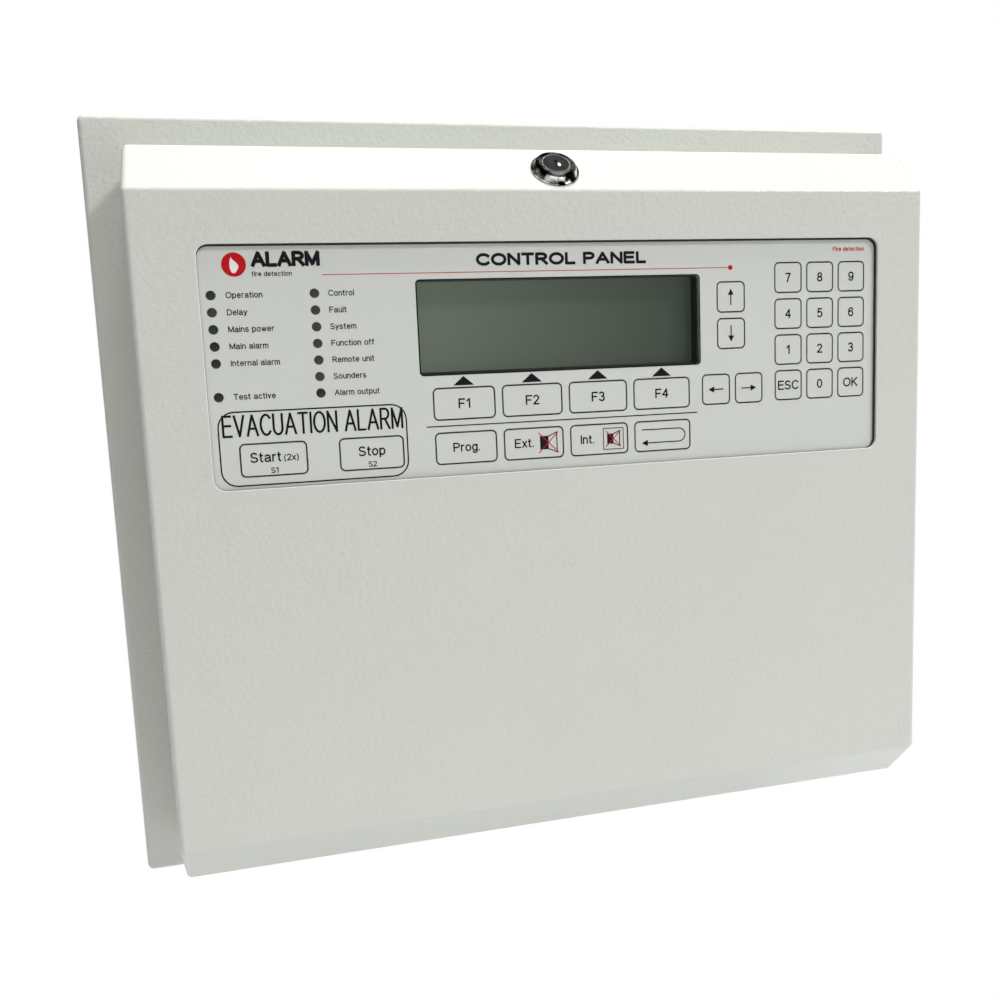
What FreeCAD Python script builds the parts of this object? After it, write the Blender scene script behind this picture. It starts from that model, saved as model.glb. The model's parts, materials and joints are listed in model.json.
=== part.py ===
"""Wall-mounted fire alarm control panel in a folded sheet-steel housing.

Frame: millimetres, +Z up, the wall is the plane Y = 0 and the panel stands in front
of it towards -Y, +X is to the right.  The origin is the middle of the four wall holes.
"""
import FreeCAD
import Part
import math
import os

V = FreeCAD.Vector

# ---- driving dimensions -------------------------------------------------------------
COVER_W, COVER_H = 371.0, 328.0        # deep front cover
COVER_DEPTH = 68.0                     # back-plate face to cover front
CHAMFER = 21.0                         # 45 degree slope along the cover's top and bottom
SHEET = 1.5                            # steel sheet of cover and back plate
BEND_R = 2.5                           # outer radius of the folds
PLATE_CORNER_R = 3.2                   # back plate's corners, seen from the front
PLATE_STAND = 12.0                     # wall to back-plate face
PLATE_SIDE, PLATE_TOP, PLATE_BOTTOM = 22.5, 22.0, 16.0   # back plate beyond the cover
COVER_GAP = 0.8                        # cover's rear edge to the back plate
OPENING = (-158.4, 161.0, 17.4, 120.8) # operator cut-out: x0, x1, z0, z1
OPENING_R = 5.0
FOIL_RECESS = 2.2                      # cover front to the face of the overlay foil
FOIL_T = 0.8
CARRIER_T = 2.0
DISPLAY = (-67.2, 66.8, 63.0, 104.4)   # display window in the foil
DISPLAY_R = 1.6
DISPLAY_DEPTH = 9.5                    # foil face to the glass
KEY = 14.3                             # square keys; the wide keys are WIDE_KEY long
WIDE_KEY = 28.2
KEY_R = 2.2
KEY_GAP = 0.25                         # slot round each key in the foil
KEY_TRAVEL = 0.4
LED_R = 2.05
LED_PITCH = 7.1
LED_TOP = 99.9
LED_COLUMNS = ((-153.8, (0, 1, 2, 3, 4, 6)), (-111.2, (0, 1, 2, 3, 4, 5, 6)))
HINGE_Y, HINGE_Z = -20.0, -157.5       # cover hinge axis, along X
HINGE_PIN_R = 2.0
RUNNING_FIT = 0.05
WALL_HOLES = (140.0, 151.0)            # half spacings of the four wall screws
WALL_HOLE_R = 3.0
LOCK_DROP = 1.2                        # lock axis below the middle of the slope
BATTERY = (151.0, 65.0, 94.0)          # 12 V, 7 Ah block: width, depth, height
RIBBON_W, RIBBON_T = 20.0, 1.0
CUP_R, CUP_FLOOR_R = 9.0, 7.0          # dished cups round the wall screws
CABLE_ENTRY = (-62.0, 62.0, 140.0, 158.0)
CABLE_ENTRY_R = 4.0
EARTH_X, EARTH_PLATE_Z = 100.0, -146.0 # bonding studs on the plate and in the cover
EARTH_COVER_Y = -50.0
EARTH_STUD_R = 2.0
CARRIER_RIM = 10.0                     # carrier plate beyond the cut-out
CARRIER_STUD_R = 1.5
FOIL_RIM = 4.0                         # foil beyond the cut-out
EAR_R = 4.4                            # round end of the hinge ears
BRACKET_X = (160.0, 163.0)             # fixed hinge ear, right-hand side
EAR_X = (167.0, 170.0)                 # cover's hinge ear, right-hand side
EAR_LENGTH = 32.0
LOCK_BODY_R, LOCK_BORE_R, LOCK_LENGTH = 9.0, 5.6, 22.0
FLANGE_R, FLANGE_T = 11.1, 0.9         # thin rim that sits on the slope
CONE_FOOT_R, CONE_TOP_R, LOCK_RIM = 10.5, 9.3, 3.3
HEAD_SEAT_R, HEAD_R, HEAD_SEAT, HEAD_TOP = 7.1, 6.9, 2.5, 4.0
KEY_SLOT = (1.6, 4.6, 8.0)             # width, length up the slope, depth
LOCK_NUT_T, LOCK_NUT_FLATS = 4.0, 22.0
CAM_T, CAM_REACH, CAM_W = 2.0, 28.0, 14.0
CATCH_T, CATCH_W, CATCH_X = 2.0, 18.0, 15.0
CATCH_GAP = 0.7                        # between the turned cam and the catch
BOARD_T = 1.6
SCREW_R = 1.5                          # M3 screws and studs
GLASS_T = 2.8                          # display module
BUZZER = (-112.0, 84.0)                # x, z of its middle
BUZZER_R, BUZZER_H = 11.0, 8.0
BOARD = (-58.0, 158.0, -30.0, 125.0)   # main board: x0, x1, z0, z1
BOARD_HOLE_IN = 5.0                    # its screws from its edges
HEADER = (26.0, 8.0)                   # ribbon sockets: width, height
MAIN_HEADER_Z, COVER_HEADER_Z = -25.0, 22.0
WAYS, WAY_PITCH, TERMINAL_DEPTH = 8, 5.08, 14.0
TERMINAL_ROWS, TERMINAL_ROW_GAP = 4, 7.0
TERMINAL_Z = (107.0, 117.0)
RELAYS, RELAY_PITCH, RELAY_DEPTH = 6, 24.0, 15.5
RELAY_X, RELAY_W, RELAY_Z = -44.0, 19.0, (78.0, 93.5)
CHIPS = ((40, 62, 30, 52, 2.2), (80, 98, 34, 46, 2.6), (108, 126, 34, 46, 2.6),
         (4, 22, 40, 50, 2.6))         # x0, x1, z0, z1, thickness
CAPACITORS, CAPACITOR_PITCH, CAPACITOR_AT = 3, 15.0, (-40.0, 52.0)
CAPACITOR_R, CAPACITOR_H = 6.0, 20.0
FUSES, FUSE_PITCH, FUSE_AT = 4, 9.0, (128.0, 4.0)
FUSE_LENGTH, FUSE_R, FUSE_CAP_R, FUSE_CAP = 20.0, 2.4, 2.6, 5.0
FUSE_HEIGHT = 5.0                      # board face to the fuse's middle
SUPPLY = (-158.0, -68.0, -28.0, 126.0) # power supply with its foot: x0, x1, z0, z1
SUPPLY_DEPTH, SUPPLY_SHEET, SUPPLY_FOOT = 38.0, 1.2, 20.0
SUPPLY_SLOTS, SLOT_PITCH, SLOT_H = 12, 7.0, 2.5
SUPPLY_WAYS, SUPPLY_WAY_PITCH = 8, 9.5
BATTERY_LID, BATTERY_LID_IN = 6.0, 0.8
TAB_IN, TAB_HALF_W, TAB_T, TAB_Y = 13.0, 2.4, 0.8, 12.0    # battery terminals
LEAD_R, EARTH_LEAD_R = 1.3, 1.5
LEAD_LIFT = 5.0                        # leads run this far above their tabs' middle

# ---- places worked out from them ----------------------------------------------------
PLATE_FACE = -PLATE_STAND
FRONT = PLATE_FACE - COVER_DEPTH
INNER_FRONT = FRONT + SHEET
HALF_W, HALF_H = COVER_W / 2, COVER_H / 2
FOIL_FACE = FRONT + FOIL_RECESS
CARRIER_FACE = FOIL_FACE + FOIL_T
CARRIER_BACK = CARRIER_FACE + CARRIER_T
GLASS_FACE = FOIL_FACE + DISPLAY_DEPTH
PANEL_BOARD = (-71.0, -69.4)           # front and back of the operator board
MAIN_BOARD = (-21.6, -20.0)            # front and back of the main board
MAIN_FACE = MAIN_BOARD[0]
CARRIER = (OPENING[0] - CARRIER_RIM, OPENING[1] + CARRIER_RIM,
           OPENING[2] - CARRIER_RIM, OPENING[3] + CARRIER_RIM)
STUD_IN = 4.0                          # carrier studs from the carrier's edges
CARRIER_STUDS = [(x, z) for x in (CARRIER[0] + STUD_IN, (CARRIER[0] + CARRIER[1]) / 2,
                                  CARRIER[1] - STUD_IN)
                 for z in (CARRIER[2] + STUD_IN, CARRIER[3] - STUD_IN)]
BOARD_POSTS = [(x, z) for x in (BOARD[0] + BOARD_HOLE_IN, (BOARD[0] + BOARD[1]) / 2,
                                BOARD[1] - BOARD_HOLE_IN)
               for z in (BOARD[2] + BOARD_HOLE_IN, BOARD[3] - BOARD_HOLE_IN)]
BATTERY_FLOOR = -HALF_H + 26.5
BATTERY_IN = 12.0                      # centre line to the inner side of each battery
BATTERY_TOP = BATTERY_FLOOR + BATTERY[2]
SLOPE = math.sqrt(0.5)
LOCK_OUT = V(0, -SLOPE, SLOPE)         # lock axis, out of the upper slope
LOCK_UP = V(0, SLOPE, SLOPE)           # up the slope
LOCK_FACE = V(0, FRONT + CHAMFER / 2, HALF_H - CHAMFER / 2) - LOCK_UP * LOCK_DROP

PAD_X = (113.3, 130.4, 147.5)
PAD_Z = (102.4, 85.2, 68.0, 50.8)
FUNCTION_X = tuple(-48.1 + 31.7 * n for n in range(4))
FUNCTION_Z, SERVICE_Z = 49.8, 29.8
PAD_NAMES = (("7", "8", "9"), ("4", "5", "6"), ("1", "2", "3"), ("esc", "0", "ok"))
KEYS = {}
for row, names in enumerate(PAD_NAMES):
    for column, name in enumerate(names):
        KEYS["key_" + name] = (PAD_X[column], PAD_Z[row], KEY)
for name, x, z in (("up", 83.1, 93.9), ("down", 83.1, 76.7),
                   ("left", 74.9, 50.4), ("right", 92.1, 50.4)):
    KEYS["key_" + name] = (x, z, KEY)
for n, x in enumerate(FUNCTION_X):
    KEYS["key_f%d" % (n + 1)] = (x, FUNCTION_Z, WIDE_KEY)
for name, x in zip(("prog", "ext", "int", "return"), FUNCTION_X):
    KEYS["key_" + name] = (x, SERVICE_Z, WIDE_KEY)
for name, x in (("start", -132.9), ("stop", -90.7)):
    KEYS["key_" + name] = (x, SERVICE_Z, WIDE_KEY)


# ---- shapes -------------------------------------------------------------------------
def box(x0, x1, y0, y1, z0, z1):
    return Part.makeBox(x1 - x0, y1 - y0, z1 - z0, V(x0, y0, z0))


def rod(start, direction, radius, length):
    return Part.makeCylinder(radius, length, start, direction)


def rounded(x0, x1, z0, z1, y0, y1, radius):
    """A plate in the XZ plane with rounded corners."""
    plate = box(x0, x1, y0, y1, z0, z1)
    corners = [e for e in plate.Edges
               if abs(e.Vertexes[0].Y - e.Vertexes[-1].Y) > (y1 - y0) / 2]
    return plate.makeFillet(radius, corners)


def profile(points, x0, x1):
    """A YZ outline drawn out along X."""
    path = [V(x0, y, z) for y, z in points]
    return Part.Face(Part.makePolygon(path + path[:1])).extrude(V(x1 - x0, 0, 0))


def hexagon(centre, axis, across_flats, height, bore):
    """A nut: six flats and a plain bore."""
    reach = across_flats / math.sqrt(3)
    corners = [V(reach * math.cos(math.radians(60 * n)), reach * math.sin(math.radians(60 * n)), 0)
               for n in range(6)]
    nut = Part.Face(Part.makePolygon(corners + corners[:1])).extrude(V(0, 0, height))
    nut = nut.cut(Part.makeCylinder(bore, height))
    nut.Placement = FreeCAD.Placement(centre, FreeCAD.Rotation(V(0, 0, 1), axis))
    return nut


def bent_path(points, radius):
    """Straight runs joined by tangent arcs through a list of points."""
    edges = []
    last = points[0]
    for before, corner, after in zip(points, points[1:], points[2:]):
        back = (before - corner).normalize()
        on = (after - corner).normalize()
        turn = math.pi - back.getAngle(on)
        cut = radius * math.tan(turn / 2)
        first, second = corner + back * cut, corner + on * cut
        inward = (back + on).normalize()
        middle = corner + inward * (radius / math.cos(turn / 2) - radius)
        edges.append(Part.LineSegment(last, first).toShape())
        edges.append(Part.Arc(first, middle, second).toShape())
        last = second
    edges.append(Part.LineSegment(last, points[-1]).toShape())
    return Part.Wire(edges)


def tube(points, radius, bend):
    path = bent_path(points, bend)
    start = (points[1] - points[0]).normalize()
    section = Part.Wire(Part.makeCircle(radius, points[0], start))
    return path.makePipeShell([section], True, False)


def export(name, *pieces):
    shape = pieces[0] if len(pieces) == 1 else Part.makeCompound(list(pieces))
    shape.exportStep(os.path.join("parts", name + ".step"))


# ---- housing ------------------------------------------------------------------------
def back_plate():
    """Shallow tray: rims fold back to the wall, four cups carry the wall screws."""
    x0, x1 = -HALF_W - PLATE_SIDE, HALF_W + PLATE_SIDE
    z0, z1 = -HALF_H - PLATE_BOTTOM, HALF_H + PLATE_TOP
    tray = box(x0, x1, PLATE_FACE, 0, z0, z1)
    tray = tray.makeFillet(PLATE_CORNER_R, [e for e in tray.Edges if e.Length < PLATE_STAND + 1])
    front = [e for e in tray.Edges if e.BoundBox.YMax < PLATE_FACE + 0.01]
    tray = tray.makeFillet(BEND_R, front)
    tray = tray.cut(box(x0 + SHEET, x1 - SHEET, PLATE_FACE + SHEET, 1, z0 + SHEET, z1 - SHEET))
    for side in (-1, 1):
        for end in (-1, 1):
            place = V(side * WALL_HOLES[0], 0, end * WALL_HOLES[1])
            face = place + V(0, PLATE_FACE, 0)
            wall = place - V(0, SHEET, 0)
            outer = Part.makeCone(CUP_R, CUP_FLOOR_R, PLATE_STAND, face, V(0, 1, 0))
            inner = Part.makeCone(CUP_R - SHEET, CUP_FLOOR_R - SHEET, PLATE_STAND - SHEET,
                                  face, V(0, 1, 0))
            tray = tray.fuse(outer).cut(inner)
            tray = tray.cut(rod(wall - V(0, 1, 0), V(0, 1, 0), WALL_HOLE_R, SHEET + 2))
    x0, x1, z0, z1 = CABLE_ENTRY
    tray = tray.cut(rounded(x0, x1, z0, z1, PLATE_FACE - 1, PLATE_FACE + SHEET + 1,
                            CABLE_ENTRY_R))
    stud = rod(V(EARTH_X, PLATE_FACE, EARTH_PLATE_Z), V(0, -1, 0), EARTH_STUD_R, 10.0)
    return tray.fuse(stud)


def cable_trim():
    """Soft edge strip round the cable entry."""
    x0, x1, z0, z1 = CABLE_ENTRY
    wall, lip = 1.2, 2.0
    y0, y1 = PLATE_FACE - wall, PLATE_FACE + SHEET + wall
    ring = rounded(x0 - lip, x1 + lip, z0 - lip, z1 + lip, y0, y1, CABLE_ENTRY_R + 1)
    beyond = lip + 7
    groove = box(x0 - beyond, x1 + beyond, PLATE_FACE, PLATE_FACE + SHEET,
                 z0 - beyond, z1 + beyond)
    throat = rounded(x0, x1, z0, z1, PLATE_FACE, PLATE_FACE + SHEET, CABLE_ENTRY_R)
    ring = ring.cut(groove).fuse(throat)
    return ring.cut(rounded(x0 + wall, x1 - wall, z0 + wall, z1 - wall, y0 - 1, y1 + 1,
                            CABLE_ENTRY_R - 1))


def cover():
    """Deep cover with sloped top and bottom, open at the rear."""
    slope_y, bend_z = FRONT + CHAMFER, HALF_H - CHAMFER
    rear, low_rear = PLATE_FACE - COVER_GAP, PLATE_FACE - 6.0
    outline = [(rear, HALF_H), (slope_y, HALF_H), (FRONT, bend_z), (FRONT, -bend_z),
               (slope_y, -HALF_H), (low_rear, -HALF_H), (rear, HINGE_Z + 1.0)]
    shell = profile(outline, -HALF_W, HALF_W)
    folds = [e for e in shell.Edges
             if e.BoundBox.YMax < low_rear - 1
             or (abs(abs(e.CenterOfMass.z) - HALF_H) < 0.01 and e.BoundBox.XLength < 1)]
    shell = shell.makeFillet(BEND_R, folds)
    drop = SHEET * math.tan(math.radians(22.5))
    hollow = [(5, HALF_H - SHEET), (slope_y + drop, HALF_H - SHEET),
              (INNER_FRONT, bend_z - drop), (INNER_FRONT, -bend_z + drop),
              (slope_y + drop, -HALF_H + SHEET), (5, -HALF_H + SHEET)]
    shell = shell.cut(profile(hollow, -HALF_W + SHEET, HALF_W - SHEET))
    x0, x1, z0, z1 = OPENING
    shell = shell.cut(rounded(x0, x1, z0, z1, FRONT - 1, INNER_FRONT + 1, OPENING_R))
    shell = shell.cut(rod(LOCK_FACE - LOCK_OUT * 5, LOCK_OUT, LOCK_BODY_R, 10))
    for x, z in CARRIER_STUDS:
        shell = shell.fuse(rod(V(x, INNER_FRONT - SHEET / 2, z), V(0, 1, 0),
                               CARRIER_STUD_R, 8.0))
    earth = V(EARTH_X, EARTH_COVER_Y, -HALF_H + SHEET / 2)
    return shell.fuse(rod(earth, V(0, 0, 1), EARTH_STUD_R, 9.0))


# ---- cover hinge --------------------------------------------------------------------
def sides(make):
    """The same piece at the left and the right side."""
    piece = make()
    return piece, piece.mirror(V(0, 0, 0), V(1, 0, 0))


def hinge_bracket():
    """Fixed ear with a foot on the back plate; it stays inside the cover's sweep."""
    x0, x1 = BRACKET_X
    y, z = HINGE_Y, HINGE_Z
    low, high, foot_t, foot_w = 7, 17, 2, 12
    web = [(y, z - EAR_R), (y + EAR_R, z), (y + EAR_R, z + 3.5), (PLATE_FACE, z + 5.5),
           (PLATE_FACE, z + high), (y - 2, z + 12), (y - EAR_R, z)]
    ear = profile(web, x0, x1).fuse(rod(V(x0, y, z), V(1, 0, 0), EAR_R, x1 - x0))
    foot = box(x1 - 1, x1 + foot_w, PLATE_FACE - foot_t, PLATE_FACE, z + low, z + high)
    return ear.fuse(foot).cut(rod(V(x0 - 1, y, z), V(1, 0, 0), HINGE_PIN_R, x1 - x0 + 2))


def hinge_pin():
    """Headed pin through both ears of one side."""
    head_r, head_t, beyond = 3.2, 2.0, 3.0
    start = V(BRACKET_X[0], HINGE_Y, HINGE_Z)
    head = rod(start - V(head_t, 0, 0), V(1, 0, 0), head_r, head_t)
    return head.fuse(rod(start, V(1, 0, 0), HINGE_PIN_R, EAR_X[1] + beyond - BRACKET_X[0]))


def hinge_ear():
    """Angle on the cover's floor whose bored web turns on the pin."""
    (x0, x1), floor = EAR_X, -HALF_H + SHEET
    y, z = HINGE_Y, HINGE_Z
    front, foot_w = y - EAR_LENGTH, 11
    web = [(y, floor), (y, z + EAR_R), (front, z + EAR_R), (front, floor)]
    ear = profile(web, x0, x1).fuse(rod(V(x0, y, z), V(1, 0, 0), EAR_R, x1 - x0))
    ear = ear.fuse(box(x1 - 1, x1 + foot_w, front, y - 4, floor, floor + SHEET))
    return ear.cut(rod(V(x0 - 1, y, z), V(1, 0, 0), HINGE_PIN_R + RUNNING_FIT, x1 - x0 + 2))


# ---- lock ---------------------------------------------------------------------------
def lock_body():
    """Threaded cylinder housing with a thin flange and a conical rim on the slope."""
    body = rod(LOCK_FACE - LOCK_OUT * LOCK_LENGTH, LOCK_OUT, LOCK_BODY_R, LOCK_LENGTH)
    body = body.fuse(rod(LOCK_FACE, LOCK_OUT, FLANGE_R, FLANGE_T))
    body = body.fuse(Part.makeCone(CONE_FOOT_R, CONE_TOP_R, LOCK_RIM - FLANGE_T,
                                   LOCK_FACE + LOCK_OUT * FLANGE_T, LOCK_OUT))
    body = body.cut(rod(LOCK_FACE + LOCK_OUT * HEAD_SEAT, LOCK_OUT, HEAD_SEAT_R, LOCK_RIM))
    return body.cut(rod(LOCK_FACE - LOCK_OUT * 30, LOCK_OUT, LOCK_BORE_R, 40))


def lock_nut():
    """Nut that clamps the lock from inside the cover."""
    inside = LOCK_FACE - LOCK_OUT * (SHEET + LOCK_NUT_T)
    return hexagon(inside, LOCK_OUT, LOCK_NUT_FLATS, LOCK_NUT_T, LOCK_BODY_R)


def lock_plug():
    """Turning core with a flat head and a key slot; its rear end carries the cam."""
    rear, seat = LOCK_LENGTH + CAM_T + 1.5, HEAD_SEAT + RUNNING_FIT
    core = rod(LOCK_FACE - LOCK_OUT * rear, LOCK_OUT, LOCK_BORE_R - RUNNING_FIT, rear + seat)
    core = core.fuse(rod(LOCK_FACE + LOCK_OUT * seat, LOCK_OUT, HEAD_R, HEAD_TOP - seat))
    width, length, depth = KEY_SLOT
    slot = Part.makeBox(width, length, depth + 1)
    slot.Placement = FreeCAD.Placement(
        LOCK_FACE + LOCK_OUT * (HEAD_TOP - depth) - LOCK_UP * (length / 2) - V(width / 2, 0, 0),
        FreeCAD.Rotation(V(1, 0, 0), 45.0))
    return core.cut(slot)


def lock_cam():
    """Flat cam on the core's rear end, at rest pointing up the slope."""
    base = LOCK_FACE - LOCK_OUT * (LOCK_LENGTH + 0.5 + CAM_T)
    half, nose = CAM_W / 2, 4
    side = V(1, 0, 0)
    corners = [base - side * half, base + side * half,
               base + side * half + LOCK_UP * (CAM_REACH - nose),
               base + side * (half - nose) + LOCK_UP * CAM_REACH,
               base - side * (half - nose) + LOCK_UP * CAM_REACH,
               base - side * half + LOCK_UP * (CAM_REACH - nose)]
    cam = Part.Face(Part.makePolygon(corners + corners[:1])).extrude(LOCK_OUT * CAM_T)
    cam = cam.fuse(rod(base, LOCK_OUT, half, CAM_T))
    return cam.cut(rod(base - LOCK_OUT * 2, LOCK_OUT, LOCK_BORE_R - RUNNING_FIT, CAM_T + 4))


def lock_catch():
    """Strap from the back plate; the turned cam goes behind its sloping end."""
    near = LOCK_FACE - LOCK_OUT * (LOCK_LENGTH + 0.5 - CATCH_GAP)
    high, low = near + LOCK_UP * (CAM_W / 2), near - LOCK_UP * (CAM_W / 2 + 3)
    skin = LOCK_OUT * CATCH_T
    arm, foot = low.z, low.z - 16.0
    bend = low.y + skin.y - 0.6
    outline = [(high.y, high.z), (low.y, arm), (PLATE_FACE, arm), (PLATE_FACE, foot),
               (PLATE_FACE - CATCH_T, foot), (PLATE_FACE - CATCH_T, arm - CATCH_T),
               (bend, arm - CATCH_T), (bend, arm + 0.5), (high.y + skin.y, high.z + skin.z)]
    strap = profile(outline, CATCH_X, CATCH_X + CATCH_W)
    hole = rod(V(CATCH_X + CATCH_W / 2, PLATE_FACE - 5, foot + 5), V(0, 1, 0), 2.2, 8)
    return strap.cut(hole)


# ---- operator unit in the cover -----------------------------------------------------
def led_places():
    for x, rows in LED_COLUMNS:
        for row in rows:
            yield x, LED_TOP - LED_PITCH * row


def overlay_foil():
    """Printed front foil, cut round every key, light window and the display."""
    x0, x1, z0, z1 = OPENING
    foil = rounded(x0 - FOIL_RIM, x1 + FOIL_RIM, z0 - FOIL_RIM, z1 + FOIL_RIM,
                   FOIL_FACE, CARRIER_FACE, FOIL_RIM)
    y0, y1 = FOIL_FACE - 1, CARRIER_FACE + 1
    holes = [rounded(*DISPLAY, y0, y1, DISPLAY_R)]
    for x, z, width in KEYS.values():
        w, h = width / 2 + KEY_GAP, KEY / 2 + KEY_GAP
        holes.append(rounded(x - w, x + w, z - h, z + h, y0, y1, KEY_R + KEY_GAP))
    for x, z in led_places():
        holes.append(rod(V(x, y0, z), V(0, 1, 0), LED_R, FOIL_T + 2))
    return foil.cut(Part.makeCompound(holes))


def key_cap(x, z, width):
    """One key: the stiffened foil pad and the plunger behind it."""
    w, h = width / 2, KEY / 2
    plunger_r, plunger = 2.0, 4.4
    pad = rounded(x - w, x + w, z - h, z + h, FOIL_FACE, CARRIER_FACE, KEY_R)
    return pad.fuse(rod(V(x, CARRIER_FACE, z), V(0, 1, 0), plunger_r, plunger))


def carrier_plate():
    """Aluminium plate behind the foil, open behind each key, light and the display."""
    y0, y1 = CARRIER_FACE, CARRIER_BACK
    plate = rounded(*CARRIER, y0, y1, 3.0)
    room, ledge, stud_room = 0.6, 0.3, 0.2
    holes = [rounded(*DISPLAY, y0 - 1, y1 + 1, DISPLAY_R)]
    for x, z, width in KEYS.values():
        w, h = width / 2 + room, KEY / 2 + room
        holes.append(rounded(x - w, x + w, z - h, z + h, y0 - 1, y1 + 1, KEY_R))
    for x, z in led_places():
        holes.append(rod(V(x, y0 - 1, z), V(0, 1, 0), LED_R - ledge, CARRIER_T + 2))
    for x, z in CARRIER_STUDS:
        holes.append(rod(V(x, y0 - 1, z), V(0, 1, 0), CARRIER_STUD_R + stud_room, CARRIER_T + 2))
    return plate.cut(Part.makeCompound(holes))


def carrier_nuts():
    """M3 nuts on the cover's studs."""
    across_flats, thick = 5.5, 2.4
    return [hexagon(V(x, CARRIER_BACK, z), V(0, 1, 0), across_flats, thick, CARRIER_STUD_R)
            for x, z in CARRIER_STUDS]


def led_windows():
    return [rod(V(x, FOIL_FACE, z), V(0, 1, 0), LED_R - 0.05, FOIL_T) for x, z in led_places()]


def leds():
    """Round lamps on the operator board, their domes in the carrier's holes."""
    dome_r, stem_h, back = 1.5, 3.4, PANEL_BOARD[0]
    lamps = []
    for x, z in led_places():
        stem = rod(V(x, back, z), V(0, -1, 0), dome_r, stem_h)
        lamps.append(stem.fuse(Part.makeSphere(dome_r, V(x, back - stem_h, z))))
    return lamps


def display_frame():
    """Black frame between the carrier and the glass."""
    x0, x1, z0, z1 = DISPLAY
    side, end, sill, lip = 8, 7, 1.0, 0.2
    frame = box(x0 - side, x1 + side, CARRIER_BACK, GLASS_FACE, z0 - end, z1 + end)
    return frame.cut(rounded(x0 + lip, x1 - lip, z0 + sill, z1 - lip, CARRIER_BACK - 1,
                             GLASS_FACE + 1, DISPLAY_R))


def display_glass():
    """Display module behind the frame."""
    x0, x1, z0, z1 = DISPLAY
    side, end = 7, 6
    return box(x0 - side, x1 + side, GLASS_FACE, GLASS_FACE + GLASS_T, z0 - end, z1 + end)


def display_board():
    """Circuit board behind the glass with its driver packages."""
    x0, x1, z0, z1 = DISPLAY
    y = GLASS_FACE + GLASS_T
    rear = y + BOARD_T
    side, above, below = 11, 9, 11
    board = box(x0 - side, x1 + side, y, rear, z0 - below, z1 + above)
    drivers, pitch, size, thick = 4, 32, 16, 1.8
    for n in range(drivers):
        x, z = x0 + 12 + n * pitch, z0 + 6
        board = board.fuse(box(x, x + size, rear, rear + thick, z, z + size))
    return board


def header(y0, y1, z):
    """Socket for the ribbon cable, in the middle of a board."""
    half, rise = HEADER[0] / 2, HEADER[1] / 2
    return box(-half, half, y0, y1, z - rise, z + rise)


def operator_board():
    """Circuit board with a switch dome under each plunger."""
    y0, y1 = PANEL_BOARD
    x0, x1, z0, z1 = DISPLAY
    board = box(OPENING[0], OPENING[1], y0, y1, OPENING[2] - 2, OPENING[3] + 2)
    side, end = 9, 8
    board = board.cut(box(x0 - side, x1 + side, y0 - 1, y1 + 1, z0 - end, z1 + end))
    dome_r, dome_h = 3.0, 1.0
    for x, z, _ in KEYS.values():
        board = board.fuse(rod(V(x, y0, z), V(0, -1, 0), dome_r, dome_h))
    board = board.fuse(header(y1, y1 + 7, COVER_HEADER_Z))
    post_r = 2.5
    for x in (OPENING[0] + 8, -75.5, 99.0, OPENING[1] - 8):
        for z in (OPENING[2] + 1.5, OPENING[3] - 2.0):
            board = board.fuse(rod(V(x, CARRIER_BACK, z), V(0, 1, 0), post_r, y0 - CARRIER_BACK))
    return board


def buzzer():
    """Round sounder on the back of the operator board, with its sound hole."""
    x, z = BUZZER
    hole_r, hole_depth = 1.5, 2.0
    body = rod(V(x, PANEL_BOARD[1], z), V(0, 1, 0), BUZZER_R, BUZZER_H)
    rear = PANEL_BOARD[1] + BUZZER_H
    return body.cut(rod(V(x, rear - hole_depth, z), V(0, 1, 0), hole_r, hole_depth + 1))


# ---- electronics on the back plate --------------------------------------------------
def main_board():
    """Main circuit board with its screw holes and the ribbon socket."""
    y0, y1 = MAIN_BOARD
    hole_r, header_h = 1.7, 9
    board = box(BOARD[0], BOARD[1], y0, y1, BOARD[2], BOARD[3])
    for x, z in BOARD_POSTS:
        board = board.cut(rod(V(x, y0 - 1, z), V(0, 1, 0), hole_r, BOARD_T + 2))
    return board.fuse(header(y0 - header_h, y0, MAIN_HEADER_Z))


def board_posts():
    """Round tapped spacers between the back plate and the main board."""
    post_r = 3.0
    return [rod(V(x, PLATE_FACE, z), V(0, -1, 0), post_r, PLATE_FACE - MAIN_BOARD[1])
            for x, z in BOARD_POSTS]


def board_screws():
    """Slotted screws that hold the main board to its spacers."""
    head_r, head_h, slot_half, slot_w, slot_floor = 2.9, 2.0, 2.0, 0.8, 1.2
    screws = []
    for x, z in BOARD_POSTS:
        head = rod(V(x, MAIN_FACE, z), V(0, -1, 0), head_r, head_h)
        head = head.cut(box(x - slot_half, x + slot_half, MAIN_FACE - head_h - 1,
                            MAIN_FACE - slot_floor, z - slot_w / 2, z + slot_w / 2))
        screws.append(head.fuse(rod(V(x, MAIN_FACE, z), V(0, 1, 0), SCREW_R, BOARD_T)))
    return screws


def terminal_blocks():
    """Four pluggable rows with a wire mouth for each way along the board's top edge."""
    length = WAYS * WAY_PITCH + 1.0
    y0, (z0, z1) = MAIN_FACE, TERMINAL_Z
    mouth_half, screw_r, step = 1.8, 1.6, 9
    blocks = []
    for n in range(TERMINAL_ROWS):
        x0 = BOARD[0] + 16 + n * (length + TERMINAL_ROW_GAP)
        block = box(x0, x0 + length, y0 - TERMINAL_DEPTH, y0, z0, z1)
        block = block.cut(box(x0 - 1, x0 + length + 1, y0 - TERMINAL_DEPTH - 1, y0 - step,
                              z1 - 3, z1 + 1))
        for way in range(WAYS):
            x = x0 + 0.5 + WAY_PITCH * (way + 0.5)
            block = block.cut(box(x - mouth_half, x + mouth_half, y0 - 7, y0 - 3, z0 + 4, z1 + 1))
            block = block.cut(rod(V(x, y0 - TERMINAL_DEPTH - 1, z0 + 3.5), V(0, 1, 0), screw_r, 3))
        blocks.append(block)
    return blocks


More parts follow.
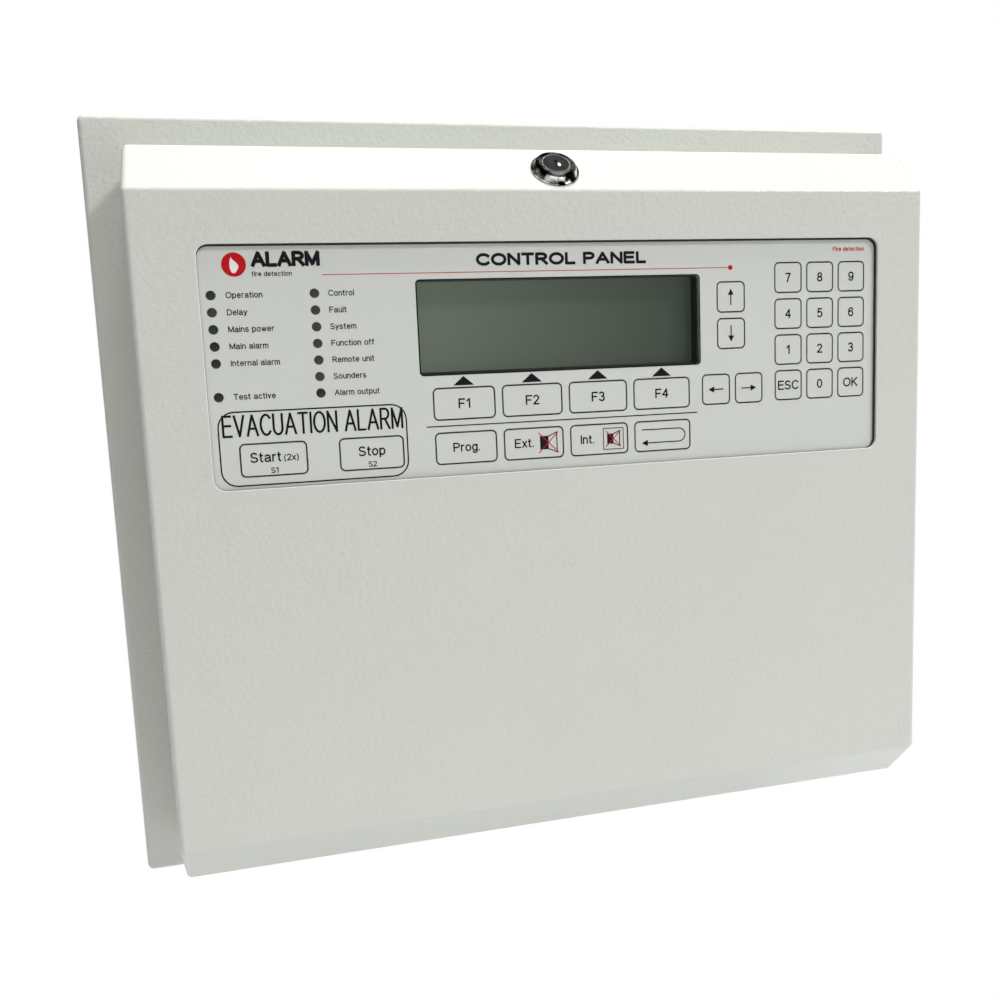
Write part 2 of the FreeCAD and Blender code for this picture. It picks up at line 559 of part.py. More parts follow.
def board_components():
    """Relays, processor, memory and driver packages and the tall capacitors."""
    y0 = MAIN_FACE
    parts = []
    for n in range(RELAYS):
        x = RELAY_X + n * RELAY_PITCH
        parts.append(box(x, x + RELAY_W, y0 - RELAY_DEPTH, y0, *RELAY_Z))
    for x0, x1, z0, z1, thick in CHIPS:
        parts.append(box(x0, x1, y0 - thick, y0, z0, z1))
    x, z = CAPACITOR_AT
    for n in range(CAPACITORS):
        foot = V(x + n * CAPACITOR_PITCH, y0, z)
        parts.append(rod(foot, V(0, -1, 0), CAPACITOR_R, CAPACITOR_H))
    return parts


def fuses():
    """Glass fuses lying in two end caps each."""
    x0, z0 = FUSE_AT
    y = MAIN_FACE - FUSE_HEIGHT
    clip_half = 2
    pieces = []
    for n in range(FUSES):
        z = z0 + n * FUSE_PITCH
        fuse = rod(V(x0, y, z), V(1, 0, 0), FUSE_R, FUSE_LENGTH)
        for x in (x0, x0 + FUSE_LENGTH - FUSE_CAP):
            fuse = fuse.fuse(rod(V(x, y, z), V(1, 0, 0), FUSE_CAP_R, FUSE_CAP))
            fuse = fuse.fuse(box(x, x + FUSE_CAP, y, MAIN_FACE, z - clip_half, z + clip_half))
        pieces.append(fuse)
    return pieces


def power_supply():
    """Sheet-metal supply with cooling slots, standing on a foot plate."""
    x0, x1, z0, z1 = SUPPLY
    y0, y1 = PLATE_FACE - SUPPLY_DEPTH, PLATE_FACE
    sheet, floor = SUPPLY_SHEET, z0 + SUPPLY_FOOT
    case = box(x0, x1, y0, y1, floor, z1)
    case = case.cut(box(x0 + sheet, x1 - sheet, y0 + sheet, y1 + 1, floor + sheet, z1 - sheet))
    slot_in, first = 12, floor + 20
    slots = [box(x0 + slot_in, x1 - slot_in, y0 - 1, y0 + 2, first + SLOT_PITCH * n,
                 first + SLOT_PITCH * n + SLOT_H) for n in range(SUPPLY_SLOTS)]
    case = case.cut(Part.makeCompound(slots))
    return case.fuse(box(x0, x1, y1 - SHEET, y1, z0, floor + 2))


def supply_terminals():
    """Mains and output terminals below the supply."""
    x0, z0 = SUPPLY[0] + 6, SUPPLY[2]
    y1 = PLATE_FACE - SHEET
    depth, pocket_half, floor, screw_r, screw_h = 16, 3.4, 9, 2.8, 2.5
    block = box(x0, x0 + SUPPLY_WAY_PITCH * SUPPLY_WAYS, y1 - depth, y1, z0 + 2, z0 + 16)
    for way in range(SUPPLY_WAYS):
        x = x0 + SUPPLY_WAY_PITCH * (way + 0.5)
        block = block.cut(box(x - pocket_half, x + pocket_half, y1 - depth - 1, y1 - floor,
                              z0 + 4, z0 + 17))
        block = block.fuse(rod(V(x, y1 - floor, z0 + 9.5), V(0, -1, 0), screw_r, screw_h))
    return block


def batteries():
    """Two sealed blocks side by side, each with a lid step and two flat terminals."""
    width, depth, _ = BATTERY
    lid_z, inset = BATTERY_TOP - BATTERY_LID, BATTERY_LID_IN
    blocks = []
    for side in (-1, 1):
        inner, outer = side * BATTERY_IN, side * (BATTERY_IN + width)
        x0, x1 = min(inner, outer), max(inner, outer)
        y0, y1 = PLATE_FACE - depth, PLATE_FACE
        case = box(x0, x1, y0, y1, BATTERY_FLOOR, lid_z)
        lid = box(x0 + inset, x1 - inset, y0 + inset, y1 - inset, lid_z, BATTERY_TOP)
        case = case.makeFillet(2.0, [e for e in case.Edges if e.BoundBox.ZLength > depth / 2])
        block = case.fuse(lid)
        for x in (x0 + TAB_IN, x1 - TAB_IN):
            block = block.fuse(box(x - TAB_HALF_W, x + TAB_HALF_W, y0 + TAB_Y, y0 + TAB_Y + TAB_T,
                                   BATTERY_TOP - 1, BATTERY_TOP + 6))
        blocks.append(block)
    return blocks


def battery_shelf():
    """Folded ledge under one battery with a low front lip."""
    x0, x1 = BATTERY_IN, BATTERY_IN + BATTERY[0]
    y0 = PLATE_FACE - BATTERY[1]
    top, lip_t, lip_h, foot_h = BATTERY_FLOOR, 0.8, 8, 6
    shelf = box(x0, x1, y0, PLATE_FACE, top - SHEET, top)
    lip = box(x0 + 10, x1 - 10, y0 - lip_t, y0, top - SHEET, top + lip_h)
    foot = box(x0, x1 - 8, PLATE_FACE - SHEET, PLATE_FACE, top - foot_h, top)
    gap = rod(V(WALL_HOLES[0], PLATE_FACE - 5, -WALL_HOLES[1]), V(0, 1, 0), CUP_R + 0.5, 8)
    return shelf.fuse(lip).fuse(foot).cut(gap)


# ---- cables inside ------------------------------------------------------------------
def ribbon_cable():
    """Flat cable: main board, down between the batteries, through the hinge line and
    up the inside of the cover to the operator board."""
    outline = [(-26.0, -29.0), (-26.0, -40.0), (HINGE_Y, -62.0), (HINGE_Y, HINGE_Z),
               (-57.0, HINGE_Z), (-77.2, -137.0), (-77.2, 0.0), (-65.5, 8.0), (-65.5, 18.0)]
    bend = 4.0
    path = bent_path([V(0, y, z) for y, z in outline], bend)
    w, t = RIBBON_W / 2, RIBBON_T / 2
    y, z = outline[0]
    section = Part.makePolygon([V(-w, y - t, z), V(w, y - t, z), V(w, y + t, z),
                                V(-w, y + t, z), V(-w, y - t, z)])
    return path.makePipeShell([section], True, False)


def earth_lead():
    """Bonding lead from the plate's stud through the hinge line to the cover's stud."""
    points = [V(EARTH_X, -18.5, EARTH_PLATE_Z - 4.2), V(EARTH_X, HINGE_Y, HINGE_Z + 0.5),
              V(EARTH_X, EARTH_COVER_Y + 4.0, HINGE_Z + 0.5)]
    return tube(points, EARTH_LEAD_R, 3 * EARTH_LEAD_R)


def battery_leads():
    """Series link between the batteries and the two leads to the main board."""
    y, z = PLATE_FACE - BATTERY[1] + TAB_Y + TAB_T / 2, BATTERY_TOP + 7.5
    near, far = BATTERY_IN + TAB_IN, BATTERY_IN + BATTERY[0] - TAB_IN
    top, back, plug_y, plug_z = z + LEAD_LIFT, -48.0, -26.0, -22.0
    link = tube([V(-near, y, z), V(-near, y, top + 1), V(near, y, top + 1), V(near, y, z)],
                LEAD_R, 4.0)
    leads = [link]
    for end, plug in ((-far, 28.0), (far, 36.0)):
        leads.append(tube([V(end, y, z), V(end, y, top), V(end, back, top), V(plug, back, top),
                           V(plug, plug_y - 4, top), V(plug, plug_y, plug_z)], LEAD_R, 1.6))
    return leads


os.makedirs("parts", exist_ok=True)
export("back_plate", back_plate())
export("cable_trim", cable_trim())
export("cover", cover())
export("hinge_brackets", *sides(hinge_bracket))
export("hinge_pins", *sides(hinge_pin))
export("cover_hinge_ears", *sides(hinge_ear))
export("lock_body", lock_body())
export("lock_nut", lock_nut())
export("lock_plug", lock_plug())
export("lock_cam", lock_cam())
export("lock_catch", lock_catch())
export("overlay_foil", overlay_foil())
export("carrier_plate", carrier_plate())
export("carrier_nuts", *carrier_nuts())
export("led_windows", *led_windows())
export("leds", *leds())
export("display_frame", display_frame())
export("display_glass", display_glass())
export("display_board", display_board())
export("operator_board", operator_board())
export("buzzer", buzzer())
export("main_board", main_board())
export("board_posts", *board_posts())
export("board_screws", *board_screws())
export("terminal_blocks", *terminal_blocks())
export("board_components", *board_components())
export("fuses", *fuses())
export("power_supply", power_supply())
export("supply_terminals", supply_terminals())
export("batteries", *batteries())
export("battery_shelves", *sides(battery_shelf))
export("battery_leads", *battery_leads())
export("ribbon_cable", ribbon_cable())
export("earth_lead", earth_lead())
for name, (x, z, width) in KEYS.items():
    export(name, key_cap(x, z, width))
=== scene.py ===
"""Looks of a wall-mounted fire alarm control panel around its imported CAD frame."""
import bmesh
import bpy
import json
import math
import random
from mathutils import Matrix, Vector


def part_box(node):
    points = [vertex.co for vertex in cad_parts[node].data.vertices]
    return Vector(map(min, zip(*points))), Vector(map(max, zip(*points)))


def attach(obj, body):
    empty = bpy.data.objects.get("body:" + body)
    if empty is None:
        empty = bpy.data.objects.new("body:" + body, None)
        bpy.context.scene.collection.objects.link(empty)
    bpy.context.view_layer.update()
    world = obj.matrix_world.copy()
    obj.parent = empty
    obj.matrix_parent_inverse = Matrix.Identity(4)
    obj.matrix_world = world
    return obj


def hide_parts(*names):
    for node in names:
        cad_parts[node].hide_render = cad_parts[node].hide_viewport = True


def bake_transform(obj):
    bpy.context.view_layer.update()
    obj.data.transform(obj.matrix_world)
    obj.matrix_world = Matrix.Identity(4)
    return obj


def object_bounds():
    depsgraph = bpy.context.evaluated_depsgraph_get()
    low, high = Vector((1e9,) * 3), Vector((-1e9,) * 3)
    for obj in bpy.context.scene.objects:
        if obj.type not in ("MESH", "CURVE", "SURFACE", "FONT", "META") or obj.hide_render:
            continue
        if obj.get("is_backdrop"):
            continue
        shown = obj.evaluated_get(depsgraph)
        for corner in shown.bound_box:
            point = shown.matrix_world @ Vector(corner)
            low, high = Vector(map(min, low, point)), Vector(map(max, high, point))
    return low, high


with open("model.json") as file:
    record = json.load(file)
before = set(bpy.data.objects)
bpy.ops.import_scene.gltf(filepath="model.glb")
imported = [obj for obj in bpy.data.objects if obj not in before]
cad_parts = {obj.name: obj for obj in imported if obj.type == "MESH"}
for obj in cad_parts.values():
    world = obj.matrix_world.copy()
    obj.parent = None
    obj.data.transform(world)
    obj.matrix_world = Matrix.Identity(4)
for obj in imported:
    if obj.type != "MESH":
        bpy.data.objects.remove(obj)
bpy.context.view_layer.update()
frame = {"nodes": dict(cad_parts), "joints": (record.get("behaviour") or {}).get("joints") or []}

MM = 0.001                            # everything below is drawn in mm, meshes are in metres
NODES = frame["nodes"]
JOINTS = {joint["name"]: joint for joint in frame["joints"]}
KEYS = sorted(name for name in NODES if name.startswith("key_"))
COVER, PANEL, LOCK = "cover_assembly", "panel_base", "lock_core"


def box_mm(node):
    """Lowest and highest corner of a CAD node's box, in mm."""
    low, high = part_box(node)
    return low / MM, high / MM


COVER_FRONT = box_mm("cover")[0].y
FOIL_FACE = box_mm("overlay_foil")[0].y
LOCK_SEAT = Vector(JOINTS["cylinder_turn"]["pos_m"]) / MM
LOCK_OUT = -Vector(JOINTS["cylinder_turn"]["axis"])


# ---- Node helpers, and groups for effects that several finishes share ---------------
FLOAT, COLOUR = "NodeSocketFloat", "NodeSocketColor"
FINE_GRAIN = 3.1                      # how many times finer the second grain is
STREAK_SQUASH = (0.04, 1.0, 1.0)      # draws the noise out along X
STREAK_SWING, STREAK_DEPTH = 0.25, 0.00001


def feed(tree, socket, value):
    """Links another node's output to a socket, or sets the socket to a plain value."""
    if isinstance(value, bpy.types.NodeSocket):
        tree.links.new(value, socket)
    else:
        socket.default_value = value


def add(tree, kind, sockets=None, **values):
    """A node with its properties set and its input sockets fed."""
    node = tree.nodes.new(kind)
    for key, value in values.items():
        setattr(node, key, value)
    for key, value in (sockets or {}).items():
        feed(tree, node.inputs[key], value)
    return node


def calc(tree, operation, *terms):
    """The output of a Math node."""
    return add(tree, "ShaderNodeMath", dict(enumerate(terms)), operation=operation).outputs[0]


def new_group(name, inputs, outputs):
    """A shader group with named sockets, and the sockets inside it to read and to feed."""
    group = bpy.data.node_groups.new(name, "ShaderNodeTree")
    for label, kind, value in inputs:
        socket = group.interface.new_socket(name=label, in_out="INPUT", socket_type=kind)
        socket.default_value = value
    for label, kind in outputs:
        group.interface.new_socket(name=label, in_out="OUTPUT", socket_type=kind)
    return group, add(group, "NodeGroupInput").outputs, add(group, "NodeGroupOutput").inputs


def noise(tree, vector, scale, detail):
    return add(tree, "ShaderNodeTexNoise",
               {"Vector": vector, "Scale": scale, "Detail": detail}).outputs["Fac"]


def grain_group():
    """Two sizes of rounded grain as one height, for powder coat and moulded skins."""
    group, given, result = new_group(
        "skin_grain", [("Grain per metre", FLOAT, 700.0), ("Fine share", FLOAT, 0.4)],
        [("Height", FLOAT)])
    where = add(group, "ShaderNodeTexCoord").outputs["Object"]
    coarse = noise(group, where, given[0], 2.0)
    fine = noise(group, where, calc(group, "MULTIPLY", given[0], FINE_GRAIN), 1.0)
    feed(group, result[0], calc(group, "ADD", coarse, calc(group, "MULTIPLY", fine, given[1])))
    return group


def mottle_group():
    """Changes of tone round a base colour."""
    group, given, result = new_group(
        "tone_mottle", [("Colour", COLOUR, (0.5, 0.5, 0.5, 1)), ("Amount", FLOAT, 0.05),
                        ("Patches per metre", FLOAT, 14.0)], [("Colour", COLOUR)])
    where = add(group, "ShaderNodeTexCoord").outputs["Object"]
    centred = calc(group, "SUBTRACT", noise(group, where, given[2], 4.0), 0.5)
    swing = calc(group, "MULTIPLY", calc(group, "MULTIPLY", centred, given[1]), 2.0)
    tone = add(group, "ShaderNodeVectorMath",
               {0: given[0], "Scale": calc(group, "ADD", swing, 1.0)}, operation="SCALE")
    feed(group, result[0], tone.outputs[0])
    return group


def streak_group():
    """Fine parallel streaks along X, as a height and as a roughness change."""
    group, given, result = new_group(
        "rolled_streaks", [("Streaks per metre", FLOAT, 2600.0), ("Roughness", FLOAT, 0.3)],
        [("Height", FLOAT), ("Roughness", FLOAT)])
    where = add(group, "ShaderNodeTexCoord").outputs["Object"]
    squashed = add(group, "ShaderNodeMapping", {"Vector": where, "Scale": STREAK_SQUASH})
    height = noise(group, squashed.outputs[0], given[0], 3.0)
    swing = calc(group, "MULTIPLY", calc(group, "SUBTRACT", height, 0.5), STREAK_SWING)
    feed(group, result[0], height)
    feed(group, result[1], calc(group, "ADD", given[1], swing))
    return group


GRAIN, MOTTLE, STREAKS = grain_group(), mottle_group(), streak_group()


# ---- Finishes -----------------------------------------------------------------------
def finish_of(name, colour, roughness, metallic=0.0, mottle=0.04, patches=14.0,
              grain=None, grain_depth=0.0, fine=0.4, streaks=None, **sockets):
    """A Principled finish with mottled tone and, where asked, grain or rolled streaks."""
    material = bpy.data.materials.new(name)
    material.use_nodes = True
    tree = material.node_tree
    shader = tree.nodes["Principled BSDF"]
    tone = add(tree, "ShaderNodeGroup", {"Colour": (*colour, 1), "Amount": mottle,
                                         "Patches per metre": patches}, node_tree=MOTTLE)
    feed(tree, shader.inputs["Base Color"], tone.outputs["Colour"])
    feed(tree, shader.inputs["Roughness"], roughness)
    feed(tree, shader.inputs["Metallic"], metallic)
    for key, value in sockets.items():
        feed(tree, shader.inputs[key.replace("_", " ")], value)
    if grain:
        skin = add(tree, "ShaderNodeGroup", {"Grain per metre": grain, "Fine share": fine},
                   node_tree=GRAIN)
        relief(tree, shader, skin.outputs["Height"], grain_depth)
    if streaks:
        rolled = add(tree, "ShaderNodeGroup", {"Streaks per metre": streaks,
                                               "Roughness": roughness}, node_tree=STREAKS)
        feed(tree, shader.inputs["Roughness"], rolled.outputs["Roughness"])
        relief(tree, shader, rolled.outputs["Height"], STREAK_DEPTH)
    return material


def relief(tree, shader, height, depth):
    bump = add(tree, "ShaderNodeBump", {"Strength": 1.0, "Distance": depth, "Height": height})
    feed(tree, shader.inputs["Normal"], bump.outputs["Normal"])


PAINT = finish_of("housing_powder_coat", (0.60, 0.615, 0.565), 0.34, mottle=0.03, patches=9.0,
                  grain=440.0, grain_depth=0.00028, fine=0.35, Specular_IOR_Level=0.5)
# painted highlight: pale paint for the lit cut edge round the opening
PAINTED_HIGHLIGHT_EDGE = finish_of("cut_edge_painted_highlight", (0.88, 0.88, 0.85), 0.3, mottle=0.03, patches=9.0)
FOIL = finish_of("front_foil_satin", (0.60, 0.62, 0.575), 0.38, mottle=0.012, patches=20.0,
                 grain=5200.0, grain_depth=0.000008)
INK_BLACK = finish_of("legend_ink_black", (0.006, 0.0065, 0.008), 0.5, mottle=0.3, patches=300.0,
                      Specular_IOR_Level=0.15)
INK_RED = finish_of("legend_ink_red", (0.50, 0.006, 0.010), 0.5, mottle=0.08, patches=200.0,
                    Specular_IOR_Level=0.15)
INK_WHITE = finish_of("legend_ink_white", (0.8, 0.8, 0.78), 0.42, mottle=0.05, patches=200.0)
BLACK_PLASTIC = finish_of("black_moulding", (0.012, 0.012, 0.013), 0.42, mottle=0.2,
                          grain=3000.0, grain_depth=0.00002)
RUBBER = finish_of("edge_rubber", (0.016, 0.016, 0.016), 0.75, mottle=0.25, patches=90.0,
                   grain=1600.0, grain_depth=0.00004)
# painted reflection: strong mottle in the base colour stands in for the room seen in the chrome
CHROME_PAINTED_REFLECTIONS = finish_of("lock_chrome", (0.50, 0.485, 0.46), 0.10, 1.0, mottle=5.5, patches=190.0)
LOCK_FACE = finish_of("lock_nickel", (0.50, 0.49, 0.47), 0.28, 1.0, mottle=0.1, patches=250.0)
ZINC = finish_of("zinc_plating", (0.62, 0.63, 0.62), 0.30, 1.0, mottle=0.12, patches=60.0,
                 streaks=2400.0)
ALUMINIUM = finish_of("carrier_aluminium", (0.72, 0.73, 0.74), 0.34, 1.0, mottle=0.06,
                      streaks=3200.0)
BRASS = finish_of("turned_brass", (0.72, 0.52, 0.22), 0.25, 1.0, mottle=0.1, patches=200.0)
BOARD = finish_of("solder_resist", (0.012, 0.11, 0.045), 0.32, mottle=0.25, patches=260.0,
                  grain=900.0, grain_depth=0.00003)
CHIP = finish_of("chip_epoxy", (0.02, 0.02, 0.022), 0.5, mottle=0.2, patches=200.0,
                 grain=6000.0, grain_depth=0.00001)
TERMINAL = finish_of("terminal_green", (0.02, 0.22, 0.08), 0.4, mottle=0.06, patches=80.0)
TERMINAL_GREY = finish_of("terminal_grey", (0.33, 0.34, 0.34), 0.42, mottle=0.06, patches=80.0)
CASE_STEEL = finish_of("supply_case_sheet", (0.66, 0.67, 0.68), 0.36, 1.0, mottle=0.12,
                       patches=30.0, streaks=1800.0)
BATTERY = finish_of("battery_case", (0.035, 0.036, 0.04), 0.36, mottle=0.12, patches=40.0,
                    grain=1500.0, grain_depth=0.00003)
FUSE = finish_of("fuse_tinned", (0.7, 0.7, 0.68), 0.2, 0.8, mottle=0.1, patches=300.0)
WIRE_RED = finish_of("sheath_red", (0.5, 0.015, 0.012), 0.4, mottle=0.06, patches=60.0)
WIRE_BLACK = finish_of("sheath_black", (0.018, 0.018, 0.018), 0.42, mottle=0.1, patches=60.0)
LAMP = finish_of("lamp_resin", (0.55, 0.56, 0.52), 0.12, mottle=0.08, patches=200.0)
LENS_GREEN = finish_of("window_tint_green", (0.020, 0.027, 0.024), 0.22, mottle=0.12,
                       patches=900.0)
LENS_OLIVE = finish_of("window_tint_olive", (0.042, 0.040, 0.028), 0.22, mottle=0.12,
                       patches=900.0)
LENS_RED = finish_of("window_tint_red", (0.024, 0.015, 0.015), 0.22, mottle=0.12, patches=900.0)
LABEL = finish_of("battery_label", (0.55, 0.56, 0.54), 0.4, mottle=0.03, patches=50.0)
# painted shade: near black for the floor of the key slot and the slots of screw heads
PAINTED_SLOT_SHADE = finish_of("keyway_painted_shade", (0.004, 0.004, 0.004), 0.6)
# painted highlight: a near-white, broken ring stands in for the glint on the lock head's edge
LOCK_PAINTED_GLINT = finish_of("painted_glint_edge", (0.90, 0.90, 0.88), 0.25, mottle=1.5, patches=330.0)
# painted highlight: a white spot stands in for a shine inside the key slot
KEYWAY_PAINTED_SHINE = finish_of("keyway_painted_shine", (0.95, 0.95, 0.94), 0.3, mottle=0.02)
RELAY_BLUE = finish_of("relay_case", (0.015, 0.05, 0.16), 0.35, mottle=0.08)
TIN = finish_of("tinned_legs", (0.72, 0.72, 0.7), 0.25, 1.0, mottle=0.15, patches=900.0)
SLEEVE = finish_of("capacitor_sleeve", (0.02, 0.02, 0.035), 0.3, mottle=0.1)
CAN_TOP = finish_of("capacitor_can", (0.75, 0.76, 0.77), 0.3, 1.0, mottle=0.1, patches=300.0)
GLASS = finish_of("fuse_glass", (0.9, 0.93, 0.93), 0.05, Transmission_Weight=0.9, IOR=1.45)
TRACK_GREEN = finish_of("track_under_resist", (0.02, 0.17, 0.07), 0.3, mottle=0.15, patches=300.0)
SILK = finish_of("board_print", (0.75, 0.76, 0.72), 0.5, mottle=0.08, patches=300.0)
CERAMIC = finish_of("ceramic_parts", (0.42, 0.30, 0.18), 0.4, mottle=0.2, patches=500.0)
RIBBON_GREY = finish_of("ribbon_sheath", (0.42, 0.43, 0.44), 0.5, mottle=0.05)
EARTH_SHEATH = finish_of("earth_sheath", (0.45, 0.42, 0.02), 0.42, mottle=0.05)
EARTH_GREEN = finish_of("earth_stripe", (0.03, 0.20, 0.05), 0.42, mottle=0.05)
DISPLAY_GLOW_TONES = ((0.067, 0.083, 0.061), (0.019, 0.027, 0.020))      # painted glow and painted reflection: brighter at the left end than at the right end


def display_painted_glow_finish():
    """Display glass, olive, under a glossy front, with painted glow and painted reflection: though
    unlit it emits a slow sweep of tone, brighter at the left end.
    """
    material = finish_of("display_olive_painted_glow", (0.12, 0.15, 0.11), 0.2, Coat_Weight=0.6,
                         Coat_Roughness=0.06, Emission_Strength=1.0)
    tree = material.node_tree
    shader = tree.nodes["Principled BSDF"]
    low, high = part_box("display_glass")
    where = add(tree, "ShaderNodeTexCoord").outputs["Object"]
    split = add(tree, "ShaderNodeSeparateXYZ", {0: where})
    # painted reflection: the tone sweeps from bright at the left end to dark at the right
    sweep = add(tree, "ShaderNodeMapRange", {"Value": split.outputs["X"], "From Min": low.x,
                                             "From Max": high.x}, clamp=True)
    ramp = add(tree, "ShaderNodeValToRGB", {"Fac": sweep.outputs["Result"]})
    for element, tone in zip(ramp.color_ramp.elements, DISPLAY_GLOW_TONES):
        element.color = (*tone, 1)
    # painted glow: the same tones feed the emission, so the glass shines though it is no lamp
    for target in ("Base Color", "Emission Color"):
        feed(tree, shader.inputs[target], ramp.outputs["Color"])
    return material


DISPLAY_PAINTED_GLOW = display_painted_glow_finish()
NODE_FINISH = {
    "back_plate": PAINT, "cover": PAINT, "cable_trim": RUBBER, "hinge_brackets": ZINC,
    "hinge_pins": ZINC, "cover_hinge_ears": ZINC, "lock_catch": ZINC, "lock_body": CHROME_PAINTED_REFLECTIONS,
    "lock_nut": ZINC, "lock_plug": LOCK_FACE, "lock_cam": ZINC, "overlay_foil": FOIL,
    "carrier_plate": ALUMINIUM, "carrier_nuts": ZINC, "led_windows": LENS_OLIVE, "leds": LAMP,
    "display_frame": BLACK_PLASTIC, "display_glass": DISPLAY_PAINTED_GLOW, "display_board": BOARD,
    "operator_board": BOARD, "buzzer": BLACK_PLASTIC, "main_board": BOARD, "board_posts": BRASS,
    "board_screws": ZINC, "terminal_blocks": TERMINAL, "board_components": CHIP, "fuses": FUSE,
    "power_supply": CASE_STEEL, "supply_terminals": TERMINAL_GREY, "batteries": BATTERY,
    "battery_shelves": ZINC, "battery_leads": WIRE_RED, "ribbon_cable": TERMINAL_GREY,
    "earth_lead": TERMINAL,
}
for key in KEYS:
    NODE_FINISH[key] = FOIL
for node, finish in NODE_FINISH.items():
    NODES[node].data.materials.clear()
    NODES[node].data.materials.append(finish)


# ---- Mesh makers --------------------------------------------------------------------
FRONT = (0, -1, 0)


def piece(name, points, faces, finishes, body=None, smooth=False, face_finish=None):
    """A mesh object from points in mm, on the body named."""
    mesh = bpy.data.meshes.new(name)
    mesh.from_pydata([tuple(Vector(p) * MM) for p in points], [], faces)
    mesh.validate()
    for finish in finishes:
        mesh.materials.append(finish)
    if face_finish:
        mesh.polygons.foreach_set("material_index", face_finish)
    mesh.polygons.foreach_set("use_smooth", [smooth] * len(mesh.polygons))
    mesh.update()
    made = bpy.data.objects.new(name, mesh)
    bpy.context.scene.collection.objects.link(made)
    if body:
        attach(made, body)
    return made


class Batch:
    """Collects the closed solids of one piece, in mm."""

    def __init__(self):
        self.points, self.faces, self.finish = [], [], []

    def solid(self, points, faces, finish=0):
        start = len(self.points)
        self.points += [Vector(p) for p in points]
        self.faces += [tuple(start + i for i in face) for face in faces]
        self.finish += [finish] * len(faces)

    def prism(self, outline, depth, finish=0):
        """outline: points round a face; depth: the vector it is drawn out along."""
        n = len(outline)
        points = [Vector(p) for p in outline] + [Vector(p) + Vector(depth) for p in outline]
        faces = [tuple(range(n - 1, -1, -1)), tuple(range(n, 2 * n))]
        faces += [(i, (i + 1) % n, n + (i + 1) % n, n + i) for i in range(n)]
        self.solid(points, faces, finish)

    def ring(self, outer, inner, depth, finish=0):
        """A flat band between two outlines with as many points each."""
        n = len(outer)
        points = [Vector(p) for loop in (outer, inner) for p in loop]
        points += [p + Vector(depth) for p in points]
        faces = []
        for i in range(n):
            j = (i + 1) % n
            faces += [(i, n + i, n + j, j), (2 * n + i, 2 * n + j, 3 * n + j, 3 * n + i),
                      (i, j, 2 * n + j, 2 * n + i), (n + i, 3 * n + i, 3 * n + j, n + j)]
        self.solid(points, faces, finish)

    def block(self, x0, x1, y0, y1, z0, z1, finish=0):
        self.prism([(x0, y0, z0), (x1, y0, z0), (x1, y0, z1), (x0, y0, z1)], (0, y1 - y0, 0),
                   finish)

    def lathe(self, profile, centre, axis=FRONT, steps=48, finish=0, capped=True):
        """profile: (radius, height along axis) pairs, closed over both ends when capped."""
        axis = Vector(axis).normalized()
        side = axis.orthogonal().normalized()
        across = axis.cross(side)
        points, faces = [], []
        for r, h in profile:
            for a in turns(steps):
                points.append(Vector(centre) + axis * h
                              + (side * math.cos(a) + across * math.sin(a)) * r)
        rows = len(profile)
        for row in range(rows - 1):
            for k in range(steps):
                a, b = row * steps + k, row * steps + (k + 1) % steps
                faces.append((a, b, b + steps, a + steps))
        if capped:
            faces.append(tuple(range(steps - 1, -1, -1)))
            faces.append(tuple((rows - 1) * steps + k for k in range(steps)))
        self.solid(points, faces, finish)

    def disc(self, centre, radius, depth, steps, finish=0):
        """A flat round plate that stands off towards the front."""
        self.lathe([(radius, 0), (radius, depth)], centre, FRONT, steps, finish)

    def make(self, name, finishes, body=None, smooth=False):
        return piece(name, self.points, self.faces, finishes, body, smooth, self.finish)


def turns(steps):
    """Angles evenly round a circle."""
    return [2 * math.pi * k / steps for k in range(steps)]


def rounded_outline(x0, x1, z0, z1, y, radius, steps=6):
    """Points round a rounded rectangle in the plane Y = y, seen from the front."""
    points = []
    for cx, cz, start in ((x1 - radius, z1 - radius, 0), (x0 + radius, z1 - radius, 90),
                          (x0 + radius, z0 + radius, 180), (x1 - radius, z0 + radius, 270)):
        for k in range(steps + 1):
            a = math.radians(start + 90 * k / steps)
            points.append(Vector((cx + radius * math.cos(a), y, cz + radius * math.sin(a))))
    return points


# ---- Lettering: strokes in cap heights ----------------------------------------------
def bow(x, z, rx, rz, start, end):
    """Points along a part of an ellipse, from one angle to another, in degrees."""
    steps = max(2, round(abs(end - start) / 15))
    angles = [math.radians(start + (end - start) * k / steps) for k in range(steps + 1)]
    return [(x + rx * math.cos(a), z + rz * math.sin(a)) for a in angles]


def ring(x, z, rx, rz):
    """A closed ellipse; the repeated first point closes the stroke."""
    return bow(x, z, rx, rz, 90, 450)


